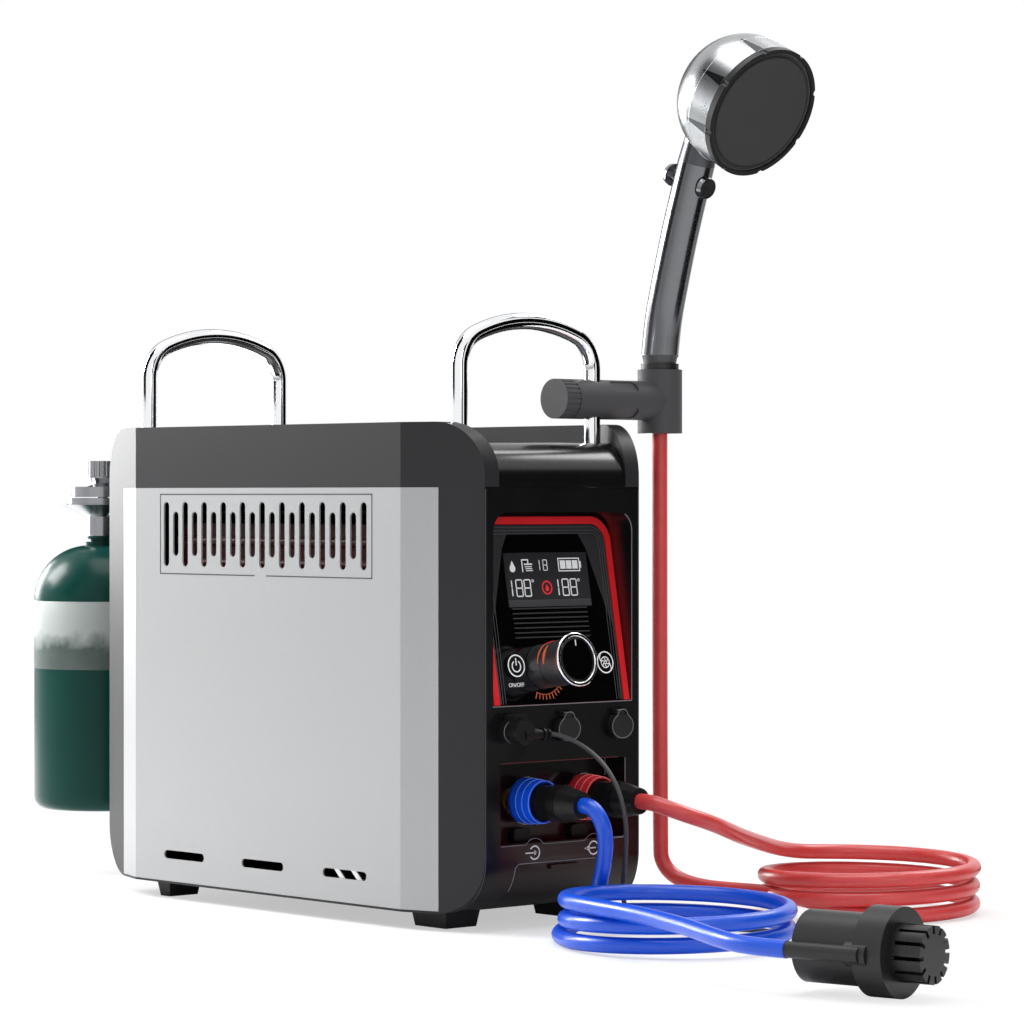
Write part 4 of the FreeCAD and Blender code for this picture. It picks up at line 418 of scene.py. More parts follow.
def handset_finish(name, code, collar_code, band_code):
    """Black chrome over the grip; below it a dull moulded collar, and a grey satin band between the two."""
    material, tree, place = blank_material(name)
    height = add(tree, "ShaderNodeSeparateXYZ", {"Vector": place}).outputs["Z"]
    above_collar, above_band = (
        add(tree, "ShaderNodeMath", {0: height, 1: top * MM}, operation="GREATER_THAN")
        for top in (HANDSET_COLLAR_TOP, HANDSET_BAND_TOP)
    )
    smear = add(tree, "ShaderNodeTexNoise", {"Vector": place, "Scale": per_metre(20.0), "Detail": 4.0})
    lower = add(tree, "ShaderNodeMix", {
        0: above_collar, COLOUR_A: linear(collar_code), COLOUR_B: linear(band_code),
    }, data_type="RGBA")
    shade = add(tree, "ShaderNodeMix", {
        0: above_band, COLOUR_A: lower.outputs[COLOUR_MIX], COLOUR_B: linear(code),
    }, data_type="RGBA")
    gloss = add(tree, "ShaderNodeMapRange", {"Value": above_band, "To Min": 0.4, "To Max": 0.16})
    haze = {0: smear, 1: 0.05, 2: gloss}
    surface = add(tree, "ShaderNodeBsdfPrincipled", {
        "Base Color": shade.outputs[COLOUR_MIX], "Metallic": above_band,
        "Roughness": add(tree, "ShaderNodeMath", haze, operation="MULTIPLY_ADD"),
    })
    add(tree, "ShaderNodeOutputMaterial", {"Surface": surface})
    return material


def paper_label(name, code, lower_code):
    """Coated paper wrapped on the cylinder: a pale upper half over a darker mottled one, satin varnished."""
    material, tree, place = blank_material(name)
    height = add(tree, "ShaderNodeSeparateXYZ", {"Vector": place}).outputs["Z"]
    mottle = add(tree, "ShaderNodeTexNoise", {"Vector": place, "Scale": per_metre(14.0), "Detail": 5.0})
    drift = add(tree, "ShaderNodeMath", {0: mottle, 1: 22.0 * MM, 2: height}, operation="MULTIPLY_ADD")
    level = add(tree, "ShaderNodeMapRange", {
        "Value": drift, "From Min": LABEL_FADE[0] * MM, "From Max": LABEL_FADE[1] * MM,
    })
    patch = add(tree, "ShaderNodeMix", {
        0: mottle, COLOUR_A: shaded(lower_code, 0.6), COLOUR_B: shaded(lower_code, 1.4),
    }, data_type="RGBA")
    shade = add(tree, "ShaderNodeMix", {
        0: level, COLOUR_A: patch.outputs[COLOUR_MIX], COLOUR_B: linear(code),
    }, data_type="RGBA")
    surface = add(tree, "ShaderNodeBsdfPrincipled", {
        "Base Color": shade.outputs[COLOUR_MIX], "Roughness": 0.42, "IOR": 1.5, "Specular IOR Level": 0.3,
    })
    add(tree, "ShaderNodeOutputMaterial", {"Surface": surface})
    return material


def powder_painted_steel(name, code):
    """Silver powder paint baked on sheet steel: an even satin with a faint orange peel and fine flakes."""
    material, tree, place = blank_material(name)
    peel = add(tree, "ShaderNodeTexNoise", {"Vector": place, "Scale": per_metre(1.6), "Detail": 2.0})
    flake = add(tree, "ShaderNodeTexVoronoi", {"Vector": place, "Scale": per_metre(0.8)})
    shade = add(tree, "ShaderNodeMix", {
        0: flake, COLOUR_A: shaded(code, 1.05), COLOUR_B: shaded(code, 0.95),
    }, data_type="RGBA")
    gloss = add(tree, "ShaderNodeMapRange", {"Value": peel, "To Min": 0.34, "To Max": 0.48})
    bump = add(tree, "ShaderNodeBump", {"Height": peel, "Strength": 0.03, "Distance": 0.15 * MM})
    surface = add(tree, "ShaderNodeBsdfPrincipled", {
        "Base Color": shade.outputs[COLOUR_MIX], "Roughness": gloss,
        "Normal": bump, "Metallic": 0.3, "IOR": 1.5,
    })
    add(tree, "ShaderNodeOutputMaterial", {"Surface": surface})
    return material


def chrome_plate(name, code, roughness):
    """Chrome plated over polished nickel: a mirror, hazed a little in patches where hands hold it."""
    material, tree, place = blank_material(name)
    smear = add(tree, "ShaderNodeTexNoise", {"Vector": place, "Scale": per_metre(25.0), "Detail": 5.0})
    gloss = add(tree, "ShaderNodeMapRange", {
        "Value": smear, "From Min": 0.4, "From Max": 0.8, "To Min": roughness, "To Max": roughness + 0.06,
    })
    surface = add(tree, "ShaderNodeBsdfPrincipled", {
        "Base Color": linear(code), "Metallic": 1.0, "Roughness": gloss,
    })
    add(tree, "ShaderNodeOutputMaterial", {"Surface": surface})
    return material


def plated_head(name, code, neck_code, centre, reach, top):
    """Chrome plate hazed by lime on the dome; beyond its reach and below a height, black chrome on the neck.

    The centre, the reach and the height are in millimetres.
    """
    material, tree, place = blank_material(name)
    height = add(tree, "ShaderNodeSeparateXYZ", {"Vector": place}).outputs["Z"]
    away = add(tree, "ShaderNodeVectorMath", {0: place, 1: centre * MM}, operation="DISTANCE")
    beyond = add(tree, "ShaderNodeMath", {0: away.outputs["Value"], 1: reach * MM}, operation="GREATER_THAN")
    low = add(tree, "ShaderNodeMath", {0: height, 1: top * MM}, operation="LESS_THAN")
    neck = add(tree, "ShaderNodeMath", {0: beyond, 1: low}, operation="MULTIPLY")
    shade = add(tree, "ShaderNodeMix", {
        0: neck, COLOUR_A: linear(code), COLOUR_B: linear(neck_code),
    }, data_type="RGBA")
    lime = add(tree, "ShaderNodeTexNoise", {"Vector": place, "Scale": per_metre(9.0), "Detail": 5.0})
    gloss = add(tree, "ShaderNodeMapRange", {"Value": lime, "To Min": 0.24, "To Max": 0.32})
    surface = add(tree, "ShaderNodeBsdfPrincipled", {
        "Base Color": shade.outputs[COLOUR_MIX], "Metallic": 1.0, "Roughness": gloss,
    })
    add(tree, "ShaderNodeOutputMaterial", {"Surface": surface})
    return material


def turned_metal(name, code):
    """Metal straight from the lathe: fine feed marks level by level, which stretch each highlight."""
    material, tree, place = blank_material(name)
    feed = add(tree, "ShaderNodeTexWave", {
        "Vector": place, "Scale": per_metre(FEED_PITCH) / (2 * math.pi), "Distortion": 0.3, "Detail": 2.0,
    }, bands_direction="Z")
    gloss = add(tree, "ShaderNodeMapRange", {"Value": feed.outputs["Fac"], "To Min": 0.17, "To Max": 0.3})
    bump = add(tree, "ShaderNodeBump", {
        "Height": feed.outputs["Fac"], "Strength": 0.03, "Distance": 0.03 * MM,
    })
    surface = add(tree, "ShaderNodeBsdfPrincipled", {
        "Base Color": linear(code), "Metallic": 1.0, "Roughness": gloss, "Normal": bump,
    })
    add(tree, "ShaderNodeOutputMaterial", {"Surface": surface})
    return material


def copper_with_painted_glow(name, code, glow_code):
    """Copper fins over the burner: dark with heat above, and low down a painted dull red glow, as if flames
    lit them from below.
    """
    material, tree, place = blank_material(name)
    height = add(tree, "ShaderNodeSeparateXYZ", {"Vector": place}).outputs["Z"]
    low = add(tree, "ShaderNodeMapRange", {
        "Value": height, "From Min": FIN_GLOW[0] * MM, "From Max": FIN_GLOW[1] * MM, "To Min": 0.1,
        "To Max": 0.0,
    })
    cloud = add(tree, "ShaderNodeTexNoise", {"Vector": place, "Scale": per_metre(22.0), "Detail": 3.0})
    # painted glow, strongest low down on the fins
    glow = add(tree, "ShaderNodeMath", {0: low, 1: cloud}, operation="MULTIPLY")
    surface = add(tree, "ShaderNodeBsdfPrincipled", {
        "Base Color": linear(code), "Roughness": 0.45, "Metallic": 0.6, "Emission Color": linear(glow_code),
        "Emission Strength": glow,
    })
    add(tree, "ShaderNodeOutputMaterial", {"Surface": surface})
    return material


def tinted_acrylic(name, top_code, foot_code, foot, top):
    """Tinted cast acrylic over the display: dark and reflective, its tint lighter towards the foot."""
    material, tree, place = blank_material(name)
    height = add(tree, "ShaderNodeSeparateXYZ", {"Vector": place}).outputs["Z"]
    level = add(tree, "ShaderNodeMapRange", {"Value": height, "From Min": foot * MM, "From Max": top * MM})
    shade = add(tree, "ShaderNodeMix", {
        0: level, COLOUR_A: linear(foot_code), COLOUR_B: linear(top_code),
    }, data_type="RGBA")
    surface = add(tree, "ShaderNodeBsdfPrincipled", {
        "Base Color": shade.outputs[COLOUR_MIX], "Roughness": 0.2, "IOR": 1.49,
    })
    add(tree, "ShaderNodeOutputMaterial", {"Surface": surface})
    return material


# ---------------------------------------------------------------- helpers for the operators
def sizes():
    return bpy.context.scene.heater_sizes


def colours():
    return bpy.context.scene.heater_colours


def dress(material, *names):
    """Gives CAD nodes a material; their shape stays as it is."""
    for name in names:
        NODES[name].data.materials.clear()
        NODES[name].data.materials.append(material)


def unseen_but_reflected(card):
    """A studio card that shows only in reflections, and throws no shadow."""
    card.visible_camera = False
    card.visible_diffuse = False
    card.visible_shadow = False
    card.visible_transmission = False
    card.visible_volume_scatter = False


WORLD_LIGHT = 0.4
FLOOR_REACH = 6.0  # metres, as in the rest of the studio
PAPER_CENTRE, PAPER_FADE = (0.05, -0.15, 0.0), (0.15, 0.75)
CAMERA_PLACE, CAMERA_TURN = (-1.6459, -1.9621, 0.2705), math.radians(-42.2)
CAMERA_LENS, CAMERA_SENSOR, CAMERA_SHIFT = 135.0, 36.0, -0.0153
LIGHTS = (  # name, place, aim, width, watts
    ("overhead_softbox", (-0.2, -0.2, 2.6), (0.0, -0.1, 0.2), 1.8, 38.0),
    ("rear_left_softbox", (-0.5, 1.0, 0.8), (0.0, 0.05, 0.3), 0.5, 20.0),
    ("back_softbox", (0.05, 1.8, 0.5), (0.0, 0.0, 0.2), 0.6, 14.0),
    ("right_softbox", (1.5, -0.1, 1.7), (0.0, -0.1, 0.3), 0.9, 16.0),
    ("front_softbox", (-0.5, -2.6, 0.9), (0.0, -0.3, 0.2), 1.0, 8.0),
)
CARDS = (  # name, centre, aim, width, height
    ("card_front_right", (1.9, -1.7, 0.75), (0.0, -0.2, 0.3), 3.0, 1.7),
    ("card_left", (-0.74, 0.38, 1.0), (0.12, -0.25, 0.52), 0.8, 1.4),
    ("card_front", (-0.2, -2.6, 0.8), (0.0, -0.2, 0.3), 0.8, 1.8),
    ("card_behind", (1.2, 2.2, 0.9), (0.0, 0.1, 0.3), 1.6, 1.8),
    ("card_on_floor", (0.95, -0.35, 0.004), (0.95, -0.35, 1.0), 1.1, 1.9),
)


class HEATER_OT_stage(bpy.types.Operator):
    """Adds the white floor, the studio lights, the dark cards that polished pieces reflect, and the camera"""

    bl_idname = "heater.stage"
    bl_label = "Stage, lights and camera"

    def execute(self, context):
        scene = context.scene
        scene.view_settings.view_transform = "Standard"
        self.world(scene)
        self.floor()
        self.lights(scene)
        self.cards()
        self.camera(scene)
        return {"FINISHED"}

    def world(self, scene):
        world = bpy.data.worlds.new("studio")
        world.use_nodes = True
        tree = world.node_tree
        tree.nodes.clear()
        path = add(tree, "ShaderNodeLightPath")
        seen = path.outputs["Is Camera Ray"]
        for ray in ("Is Glossy Ray", "Is Transmission Ray"):
            seen = add(tree, "ShaderNodeMath", {0: seen, 1: path.outputs[ray]}, operation="MAXIMUM")
        soft = add(tree, "ShaderNodeBackground", {"Color": linear("ffffff"), "Strength": WORLD_LIGHT})
        white = add(tree, "ShaderNodeBackground", {"Color": linear("ffffff"), "Strength": 1.0})
        mix = add(tree, "ShaderNodeMixShader", {0: seen, 1: soft, 2: white})
        add(tree, "ShaderNodeOutputWorld", {"Surface": mix})
        scene.world = world

    def floor(self):
        material, tree, place = blank_material("matt_white_paper")
        paper = add(tree, "ShaderNodeBsdfDiffuse", {"Color": linear("f4f4f4")})
        lift = add(tree, "ShaderNodeEmission", {"Color": linear("ffffff"), "Strength": 1.0})
        reach = add(tree, "ShaderNodeVectorMath", {0: place, 1: PAPER_CENTRE}, operation="DISTANCE")
        white = add(tree, "ShaderNodeMapRange", {
            "Value": reach.outputs["Value"], "From Min": PAPER_FADE[0], "From Max": PAPER_FADE[1],
            "To Min": 0.5, "To Max": 1.0,
        }, interpolation_type="SMOOTHSTEP")
        path = add(tree, "ShaderNodeLightPath")
        seen = path.outputs["Is Camera Ray"]
        share = add(tree, "ShaderNodeMath", {0: seen, 1: white}, operation="MULTIPLY")
        mix = add(tree, "ShaderNodeMixShader", {0: share, 1: paper, 2: lift})
        add(tree, "ShaderNodeOutputMaterial", {"Surface": mix})
        corners = [(x * FLOOR_REACH, y * FLOOR_REACH, 0) for x, y in rectangle(-1, -1, 1, 1)]
        floor = mesh_object("studio_floor", corners, [(0, 1, 2, 3)])
        floor.data.materials.append(material)

    def lights(self, scene):
        for name, place, aim, width, power in LIGHTS:
            emitter = bpy.data.lights.new(name, "AREA")
            emitter.shape = "SQUARE"
            emitter.size = width
            emitter.energy = power
            made = bpy.data.objects.new(name, emitter)
            made.location = place
            made.rotation_euler = (Vector(aim) - Vector(place)).to_track_quat("-Z", "Y").to_euler()
            scene.collection.objects.link(made)

    def cards(self):
        """Black felt cards; the gloss front and the chrome show them as their dark parts."""
        felt, tree, _ = blank_material("black_felt")
        nap = add(tree, "ShaderNodeBsdfDiffuse", {"Color": linear("050505")})
        add(tree, "ShaderNodeOutputMaterial", {"Surface": nap})
        for name, centre, toward, width, height in CARDS:
            facing = (Vector(toward) - Vector(centre)).to_track_quat("Z", "Y").to_matrix()
            corners = [Vector(centre) + facing @ Vector((across * width, up * height, 0))
                       for across, up in rectangle(-0.5, -0.5, 0.5, 0.5)]
            card = mesh_object(name, corners, [(0, 1, 2, 3)])
            card.data.materials.append(felt)
            unseen_but_reflected(card)

    def camera(self, scene):
        view = bpy.data.cameras.new("view")
        view.lens = CAMERA_LENS
        view.sensor_width = CAMERA_SENSOR
        view.shift_y = CAMERA_SHIFT
        made = bpy.data.objects.new("view", view)
        made.location = CAMERA_PLACE
        made.rotation_euler = (math.radians(90.0), 0.0, CAMERA_TURN)
        scene.collection.objects.link(made)
        scene.camera = made


# ---------------------------------------------------------------- hoses and cable, points in millimetres
RED_HOSE = [
    (24.5, -239, 80), (24.5, -248.5, 80), (28, -259, 77), (36, -267, 73), (47.5, -271, 69), (61, -270, 65),
    (77, -264, 60.5), (100, -252, 55), (127, -236.5, 49.5), (155, -221, 44), (181, -208, 39),
    (206, -202.5, 35), (229, -207, 33.8), (248, -219.5, 33.2),
]
RED_RISER = [
    (118.2, -161, 311.8), (118.2, -161, 40), (119.1, -162, 31.5), (121.8, -166.2, 24), (126, -174.8, 18.5),
    (131, -189.6, 15.5), (135.5, -210.4, 15), (138.9, -236.4, 15.3), (141.2, -263, 13.6), (143.8, -287, 10),
    (149, -307, 6.6), (158.3, -322, 5.2), (173.3, -332.5, 5.1),
]
BLUE_HOSE = [
    (-24.5, -239, 80), (-24.5, -244.6, 80), (-24.1, -249.5, 77.4), (-23, -252.9, 72.7), (-20.6, -254.2, 65.3),
    (-17.4, -251.9, 54.8), (-14.6, -247.4, 45), (-12, -242, 35), (-11.4, -238.6, 25.5), (-15.3, -237, 16.2),
    (-23.8, -237.4, 9.6), (-36, -239.8, 6.2), (-50.5, -246.6, 5.1), (-63.5, -259.2, 5.1), (-74, -275, 5.1),
]
BLUE_LEAD = [
    (-80, -284, 28.6), (-87, -303, 28.8), (-91.2, -327, 28.5), (-95.5, -356, 28.2), (-106, -391, 28),
    (-122, -431, 27.8), (-137, -466, 26.6), (-143.13, -494.3, 25), (-137.8, -520.8, 25),
]
PUMP_CABLE = [
    (-19.5, -204, 122.5), (-13.5, -207.6, 121.3), (-9, -215.8, 117.5), (-6, -226, 112), (-4.5, -237, 104),
    (-4, -246, 94), (-3.5, -252, 82), (-2.5, -254.5, 69), (-1, -253, 56), (1.5, -249.5, 44), (5, -244, 32),
    (9.2, -239, 20.5), (16, -237, 11), (26, -241.5, 4.5), (40, -255, 2), (56, -279, 1.6), (68, -310, 1.7),
    (73, -345, 1.6), (67, -385, 1.7), (49, -428, 1.6), (21, -466, 1.7), (-12, -494, 1.6), (-42, -509, 2.6),
    (-60, -515.3, 8), (-74, -519.1, 17), (-86, -522.2, 24),
]
COIL_POINTS_PER_TURN = 16
COIL_RADIUS, COIL_WANDER = 68.6, 0.9


def coil_turns(centre, start, sweep, low, high):
    """Points of a hand-laid coil: round the centre, between two heights, each turn a little off the last."""
    steps = round(abs(sweep) / 360 * COIL_POINTS_PER_TURN)
    points = []
    for step in range(1, steps):
        share = step / steps
        angle = math.radians(start + sweep * share)
        loose = COIL_RADIUS + COIL_WANDER * math.sin(1.15 * angle + 0.7)
        x, y = centre[0] + loose * math.cos(angle), centre[1] + loose * math.sin(angle)
        points.append((x, y, low + (high - low) * share))
    return points


def flexible(name, points, diameter, material):
    """A hose or cable of round section along one smooth open spline."""
    line = bpy.data.curves.new(name, "CURVE")
    line.dimensions = "3D"
    line.bevel_depth = diameter / 2
    line.bevel_resolution = 5
    line.resolution_u = 10
    line.use_fill_caps = True
    spline = line.splines.new("NURBS")
    spline.points.add(len(points) - 1)
    for index, (x, y, z) in enumerate(points):
        spline.points[index].co = (x * MM, y * MM, z * MM, 1.0)
    spline.order_u = 3
    spline.use_endpoint_u = True
    spline.use_smooth = True
    made = bpy.data.objects.new(name, line)
    bpy.context.scene.collection.objects.link(made)
    return finished(made, material)


class HEATER_OT_hoses(bpy.types.Operator):
    """Lays the outlet hose, the inlet hose and the pump's cable, each on its own route"""

    bl_idname = "heater.hoses"
    bl_label = "Hoses and pump cable"

    def execute(self, context):
        hose = sizes().hose_diameter
        red = extruded_polyurethane("extruded_polyurethane_red", colours().hot)
        blue = extruded_polyurethane("extruded_polyurethane_blue", colours().cold)
        rubber = moulded_rubber("cable_rubber", "2b2b2d", 0.45)
        red_turns = coil_turns((202, -270), 47.7, -882.0, 33.2, 5.1)
        outlet = flexible("outlet_hose", RED_HOSE + red_turns + RED_RISER[::-1], hose, red)
        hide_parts("red_hose", "red_coil", "red_riser")
        blue_turns = coil_turns((-21, -317), 141.6, 729.2, 5.1, 28.6)
        inlet = flexible("inlet_hose", BLUE_HOSE + blue_turns + BLUE_LEAD, hose, blue)
        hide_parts("blue_hose", "blue_coil", "blue_lead")
        cable = flexible("pump_cable_lead", PUMP_CABLE, sizes().cable_diameter, rubber)
        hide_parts("pump_cable")
        return {"FINISHED"}
# ---------------------------------------------------------------- places on the object, in millimetres
HALF_WIDTH, HALF_DEPTH = 86.0, 195.0
CURVE_BOTTOM, CURVE_RADIUS, CURVE_STEPS = 11.0, 34.0, 10  # where the front curves in under the case
SIDES = ((-1, "left"), (1, "right"))


def on_side(side, rise=0.0):
    """Places a point on a long side: along the case, up, and out; side is 1 or -1."""
    return lambda y, z, out: Vector((side * (HALF_WIDTH + rise + out), y, z)) * MM


def on_front(rise=0.0):
    """Places a point on the front: across, up, and out."""
    return lambda x, z, out: Vector((x, -HALF_DEPTH - rise - out, z)) * MM


def down_the_front(x, low, high):
    """A line's points up the front, close together where the front curves in under the case."""
    flat = CURVE_BOTTOM + CURVE_RADIUS
    return [(x, low + (flat - low) * step / CURVE_STEPS) for step in range(CURVE_STEPS + 1)] + [(x, high)]


def on_curved_front(x, z, out):
    """Places a point on the front and on the curve below it: across, up, and out."""
    depth = max(CURVE_BOTTOM + CURVE_RADIUS - z, 0.0)
    inward = CURVE_RADIUS - math.sqrt(max(CURVE_RADIUS ** 2 - depth ** 2, 0.0))
    return on_front()(x, z, out - inward)


def on_panel(rise=0.0):
    """Places a point on the tilted panel: across, up the panel, and out of it."""
    def place(x, v, out):
        n = out + rise
        y = PANEL_FACE[0] + TILT_SINE * v - TILT_COSINE * n
        return Vector((x, y, PANEL_FACE[1] + TILT_COSINE * v + TILT_SINE * n)) * MM
    return place


def both_sides(name):
    return name + "_left", name + "_right"


def print_height():
    return sizes().print_height / MM


def line_width():
    return sizes().line_width / MM


def printed(name, outlines, place, material, body=CASE):
    """Flat shapes on a face: printed marks, and lines of painted highlight and glow."""
    return finished(slabs(name, outlines, print_height(), place), material, body)


def mirrored(points):
    """The same 2-D points on the other side of the middle, in the opposite order."""
    return [(-x, y) for x, y in reversed(points)]


# ---------------------------------------------------------------- case
GRILLE_FRAME = [(-4.0, 218.7), (-110.3, 218.7), (-110.3, 271.8), (110.3, 271.8), (110.3, 218.7), (9.0, 218.7)]
GRILLE_LINE = 1.6  # its width in fine printed lines
# outlines of dark plates that stand in for shade inside the case: painted shade
BAFFLE = [(-82.0, 204.0), (82.0, 204.0), (82.0, 266.0), (70.0, 272.0), (-70.0, 272.0), (-82.0, 266.0)]
BAFFLES_Y = ((-114.0, "front"), (112.0, "rear"))
HOOD_WEB = rectangle(-112.0, 252.6, 112.0, 272.0)
BAFFLE_SHEET, WEB_SHEET, LOUVRE_SHEET = 1.2, 1.0, 0.8
VENT_BARS = ((-98.0, -90.5), (-81.0, -73.5))  # from and to along the case
VENT_BAR_HEIGHT, VENT_BAR_WIDTH, VENT_DEPTH = (27.0, 34.0), 5.0, 3.2
EDGE_WIDTH = 0.5
FACE_EDGE_X, FACE_EDGE_Z = 65.55, (18.0, 275.0)
RECESS_EDGE = arc((47.4, 248.6), 12.3, 60.0, 0.0, 10) + [(59.7, 140.0)]
RECESS_SILL = [(-59.4, 140.1), (59.6, 140.1)]
BAY_EDGE = [(53.7, 104.0), (53.7, 57.0)] + arc((50.7, 56.6), 3.0, 0.0, -80.0, 6) + [(44.0, 53.6)]
BAY_TOP = [(-53.0, 104.7), (47.0, 104.7)]
BAY_CORNER, BAY_DEPTH = [(52.6, 103.9), (52.6, 92.0)], 17.4
DOOR_EDGE = [(-40.4, 24.0 + 1.5 * step) for step in range(11)] + [(-37.8, 41.5), (28.0, 41.5)]


class HEATER_OT_case(bpy.types.Operator):
    """Finishes the case and its handles, and adds the grille's line, the dark baffles of painted shade,
    louvres with a painted glow and edge lines of painted highlight
    """

    bl_idname = "heater.case"
    bl_label = "Case and handles"

    def execute(self, context):
        dress(textured_abs("textured_abs_frame", colours().frame, 0.8, 0.42), *both_sides("side_frame"))
        dress(textured_abs("textured_abs_back", "202022"), "rear_shell", "base_plate", "blower_housing")
        dress(powder_painted_steel("powder_painted_steel", colours().sheet), *both_sides("side_panel"))
        dress(polished_abs("polished_abs_cover", colours().shell, 0.2), "top_cover")
        # the front shell's red in the recess and round the bay is painted reflection and glow
        lit = lit_gloss_abs("polished_abs_front", colours().shell, "5a1216", "2a0d10")
        dress(lit, "front_shell", "battery_door")
        dress(moulded_rubber("rubber_feet", "0c0c0d"), "feet")
        dress(chrome_plate("chrome_plate_handles", "f2f3f5", 0.04), "handle_front", "handle_rear")
        dress(turned_metal("zinc_plated_steel", "b9bbbe"), "handle_brackets", "case_screws")
        self.grille()
        self.baffles()
        self.edges()
        return {"FINISHED"}

    def grille(self):
        ink = screen_ink("screen_ink_grey", "3a3b3d")
        for side, name in SIDES:
            runs = stroke(GRILLE_FRAME, GRILLE_LINE * line_width())
            printed("grille_line_" + name, runs, on_side(side), ink)

    def baffles(self):
        """Dark folded plates that close the case's inside at both ends of the grille and a dark web by the
        hood, put there as painted shade, and the louvre bars, white with a painted glow.
        """
        # painted shade: dark sheets put inside the case so that the grille shows it dark
        black = raw_metal("painted_shade_sheet", "101012", 10.0, 0.6)
        for y, name in BAFFLES_Y:
            made = slabs("end_shade_baffle_" + name, [BAFFLE], BAFFLE_SHEET,
                         lambda x, z, out: Vector((x, y + out, z)) * MM)
            finished(soften(made, 0.3), black)
        web = slabs("hood_shade_web", [HOOD_WEB], WEB_SHEET,
                    lambda y, z, out: Vector((out - WEB_SHEET / 2, y, z)) * MM)
        finished(soften(web, 0.2), black)
        # painted glow: the white louvre bars emit light, though they are no lamp
        bright = screen_ink("white_louvre_painted_glow", "f0f0ee", 0.25)
        low, high = VENT_BAR_HEIGHT
        bars = [[(foot, low), (foot + VENT_BAR_WIDTH, low), (head + VENT_BAR_WIDTH, high), (head, high)]
                for foot, head in VENT_BARS]
        for side, name in SIDES:
            made = slabs("vent_louvre_" + name, bars, LOUVRE_SHEET, on_side(side, -VENT_DEPTH))
            finished(soften(made, 0.2), bright)

    def edges(self):
        """Painted highlights along the edges where the moulded front meets the side frames and round its
        openings, and a red line of painted reflection along the bay's top.
        """
        # painted highlights along the front's edges and openings
        edge = screen_ink("painted_edge_highlight", "85868a")
        dim = screen_ink("painted_dim_edge_highlight", "55565a")
        # painted reflection: a wine-red line along the bay's top edge
        wine = screen_ink("painted_red_edge_reflection", "5a1216")
        face = []
        for x in (-FACE_EDGE_X, FACE_EDGE_X):
            face += band(down_the_front(x, *FACE_EDGE_Z), EDGE_WIDTH)
        recess = band(RECESS_EDGE, EDGE_WIDTH) + stroke(RECESS_SILL, EDGE_WIDTH)
        for name, runs, place, ink in (
            ("front_edge_lines", face, on_curved_front, dim),
            ("recess_edge_lines", recess, on_front(), edge),
            ("bay_edge_lines", band(BAY_EDGE, EDGE_WIDTH), on_front(), edge),
            ("bay_corner_line", stroke(BAY_CORNER, 1.4 * EDGE_WIDTH), on_front(-BAY_DEPTH), edge),
            ("bay_top_line", stroke(BAY_TOP, 1.2 * EDGE_WIDTH), on_front(), wine),
            ("door_edge_line", band(DOOR_EDGE, EDGE_WIDTH), on_curved_front, edge),
        ):
            printed(name, runs, place, ink)


# ---------------------------------------------------------------- control panel
BUTTONS = ((-36.9, "power_switch"), (39.5, "pump_switch"))
BUTTON_V, BUTTON_RISE = 24.47, 1.9
BUTTON_RING, SIGN_RING, SIGN_LINE = 6.7, 3.5, 0.8
FAN_BLADES, FAN_LINE, FAN_TWIST = 6, 0.5, 0.25
FAN_PIPES = (((3.5, 0.0), (4.6, -3.0), (4.4, -4.6)), ((-3.5, 0.0), (-4.6, 3.0), (-3.6, 5.0)))
WORDS_DROP, WORDS_SIZE = 13.0, 3.6
SEGMENTS = {"1": "bc", "8": "abcdefg"}
DIGIT_SHAPE, DIGIT_LINE = 0.5, 0.075  # width and line of a digit as shares of its height
BORDER_INNER = [(50.6, 0.6), (52.2, 47.7), (47.5, 60.0), (36.0, 98.4), (30.5, 108.0)]
BORDER_OUTER = [(30.5, 113.6), (43.0, 113.6), (50.0, 110.5), (53.0, 103.0), (53.0, 0.6)]
BORDER_TOP = rectangle(-30.5, 108.0, 30.5, 113.6)
TRIM_X, TRIM_FOOT, TRIM_HEAD, TRIM_CORNER = 53.0, 0.8, 113.4, 10.5
STEPS_IN_TRIM, STEP_INSET, STEP_LINE = 3, 1.2, 0.45
RIBS = [rectangle(-33.6, 41.65 + 3.05 * index, 30.6, 42.55 + 3.05 * index) for index in range(7)]
RIB_HEIGHT = 0.6
WINDOW_RISE = 0.2
WINDOW_STRIP = rectangle(-35.3, 61.6, 35.3, 66.0)
SHOWER_PIPE = [(-20.5, 84.0), (-20.5, 91.4), (-15.4, 91.4), (-15.4, 89.0)]
SHOWER_HEAD = [(-18.4, 88.6), (-12.4, 88.6)]
BATTERY, BATTERY_TIP = rectangle(10.6, 84.0, 28.6, 92.0), [(29.6, 86.4), (29.6, 89.6)]
BATTERY_CELLS = [rectangle(x, 85.3, x + 4.5, 90.7) for x in (12.0, 17.3, 22.6)]
SMALL_DIGITS = (("1", -9.0), ("8", -2.6))
LARGE_DIGITS = (("1", -4.4), ("8", 4.4), ("8", 11.4))  # across from a reading's left end
READINGS_X, DEGREE_X = (-32.0, 7.6), 18.8
KNOB_X, KNOB_V, KNOB_TOP = -13.6, 23.35, 33.0
KNOB_RIM = [
    (14.4, 30.4), (16.6, 30.6), (17.0, 31.2), (17.0, 32.8), (16.4, 33.35), (15.0, 33.45), (14.4, 33.1),
    (14.4, 30.4),
]
KNOB_DISC = [(0.0, 32.9), (12.0, 32.95), (14.3, 32.7), (14.5, 32.4)]
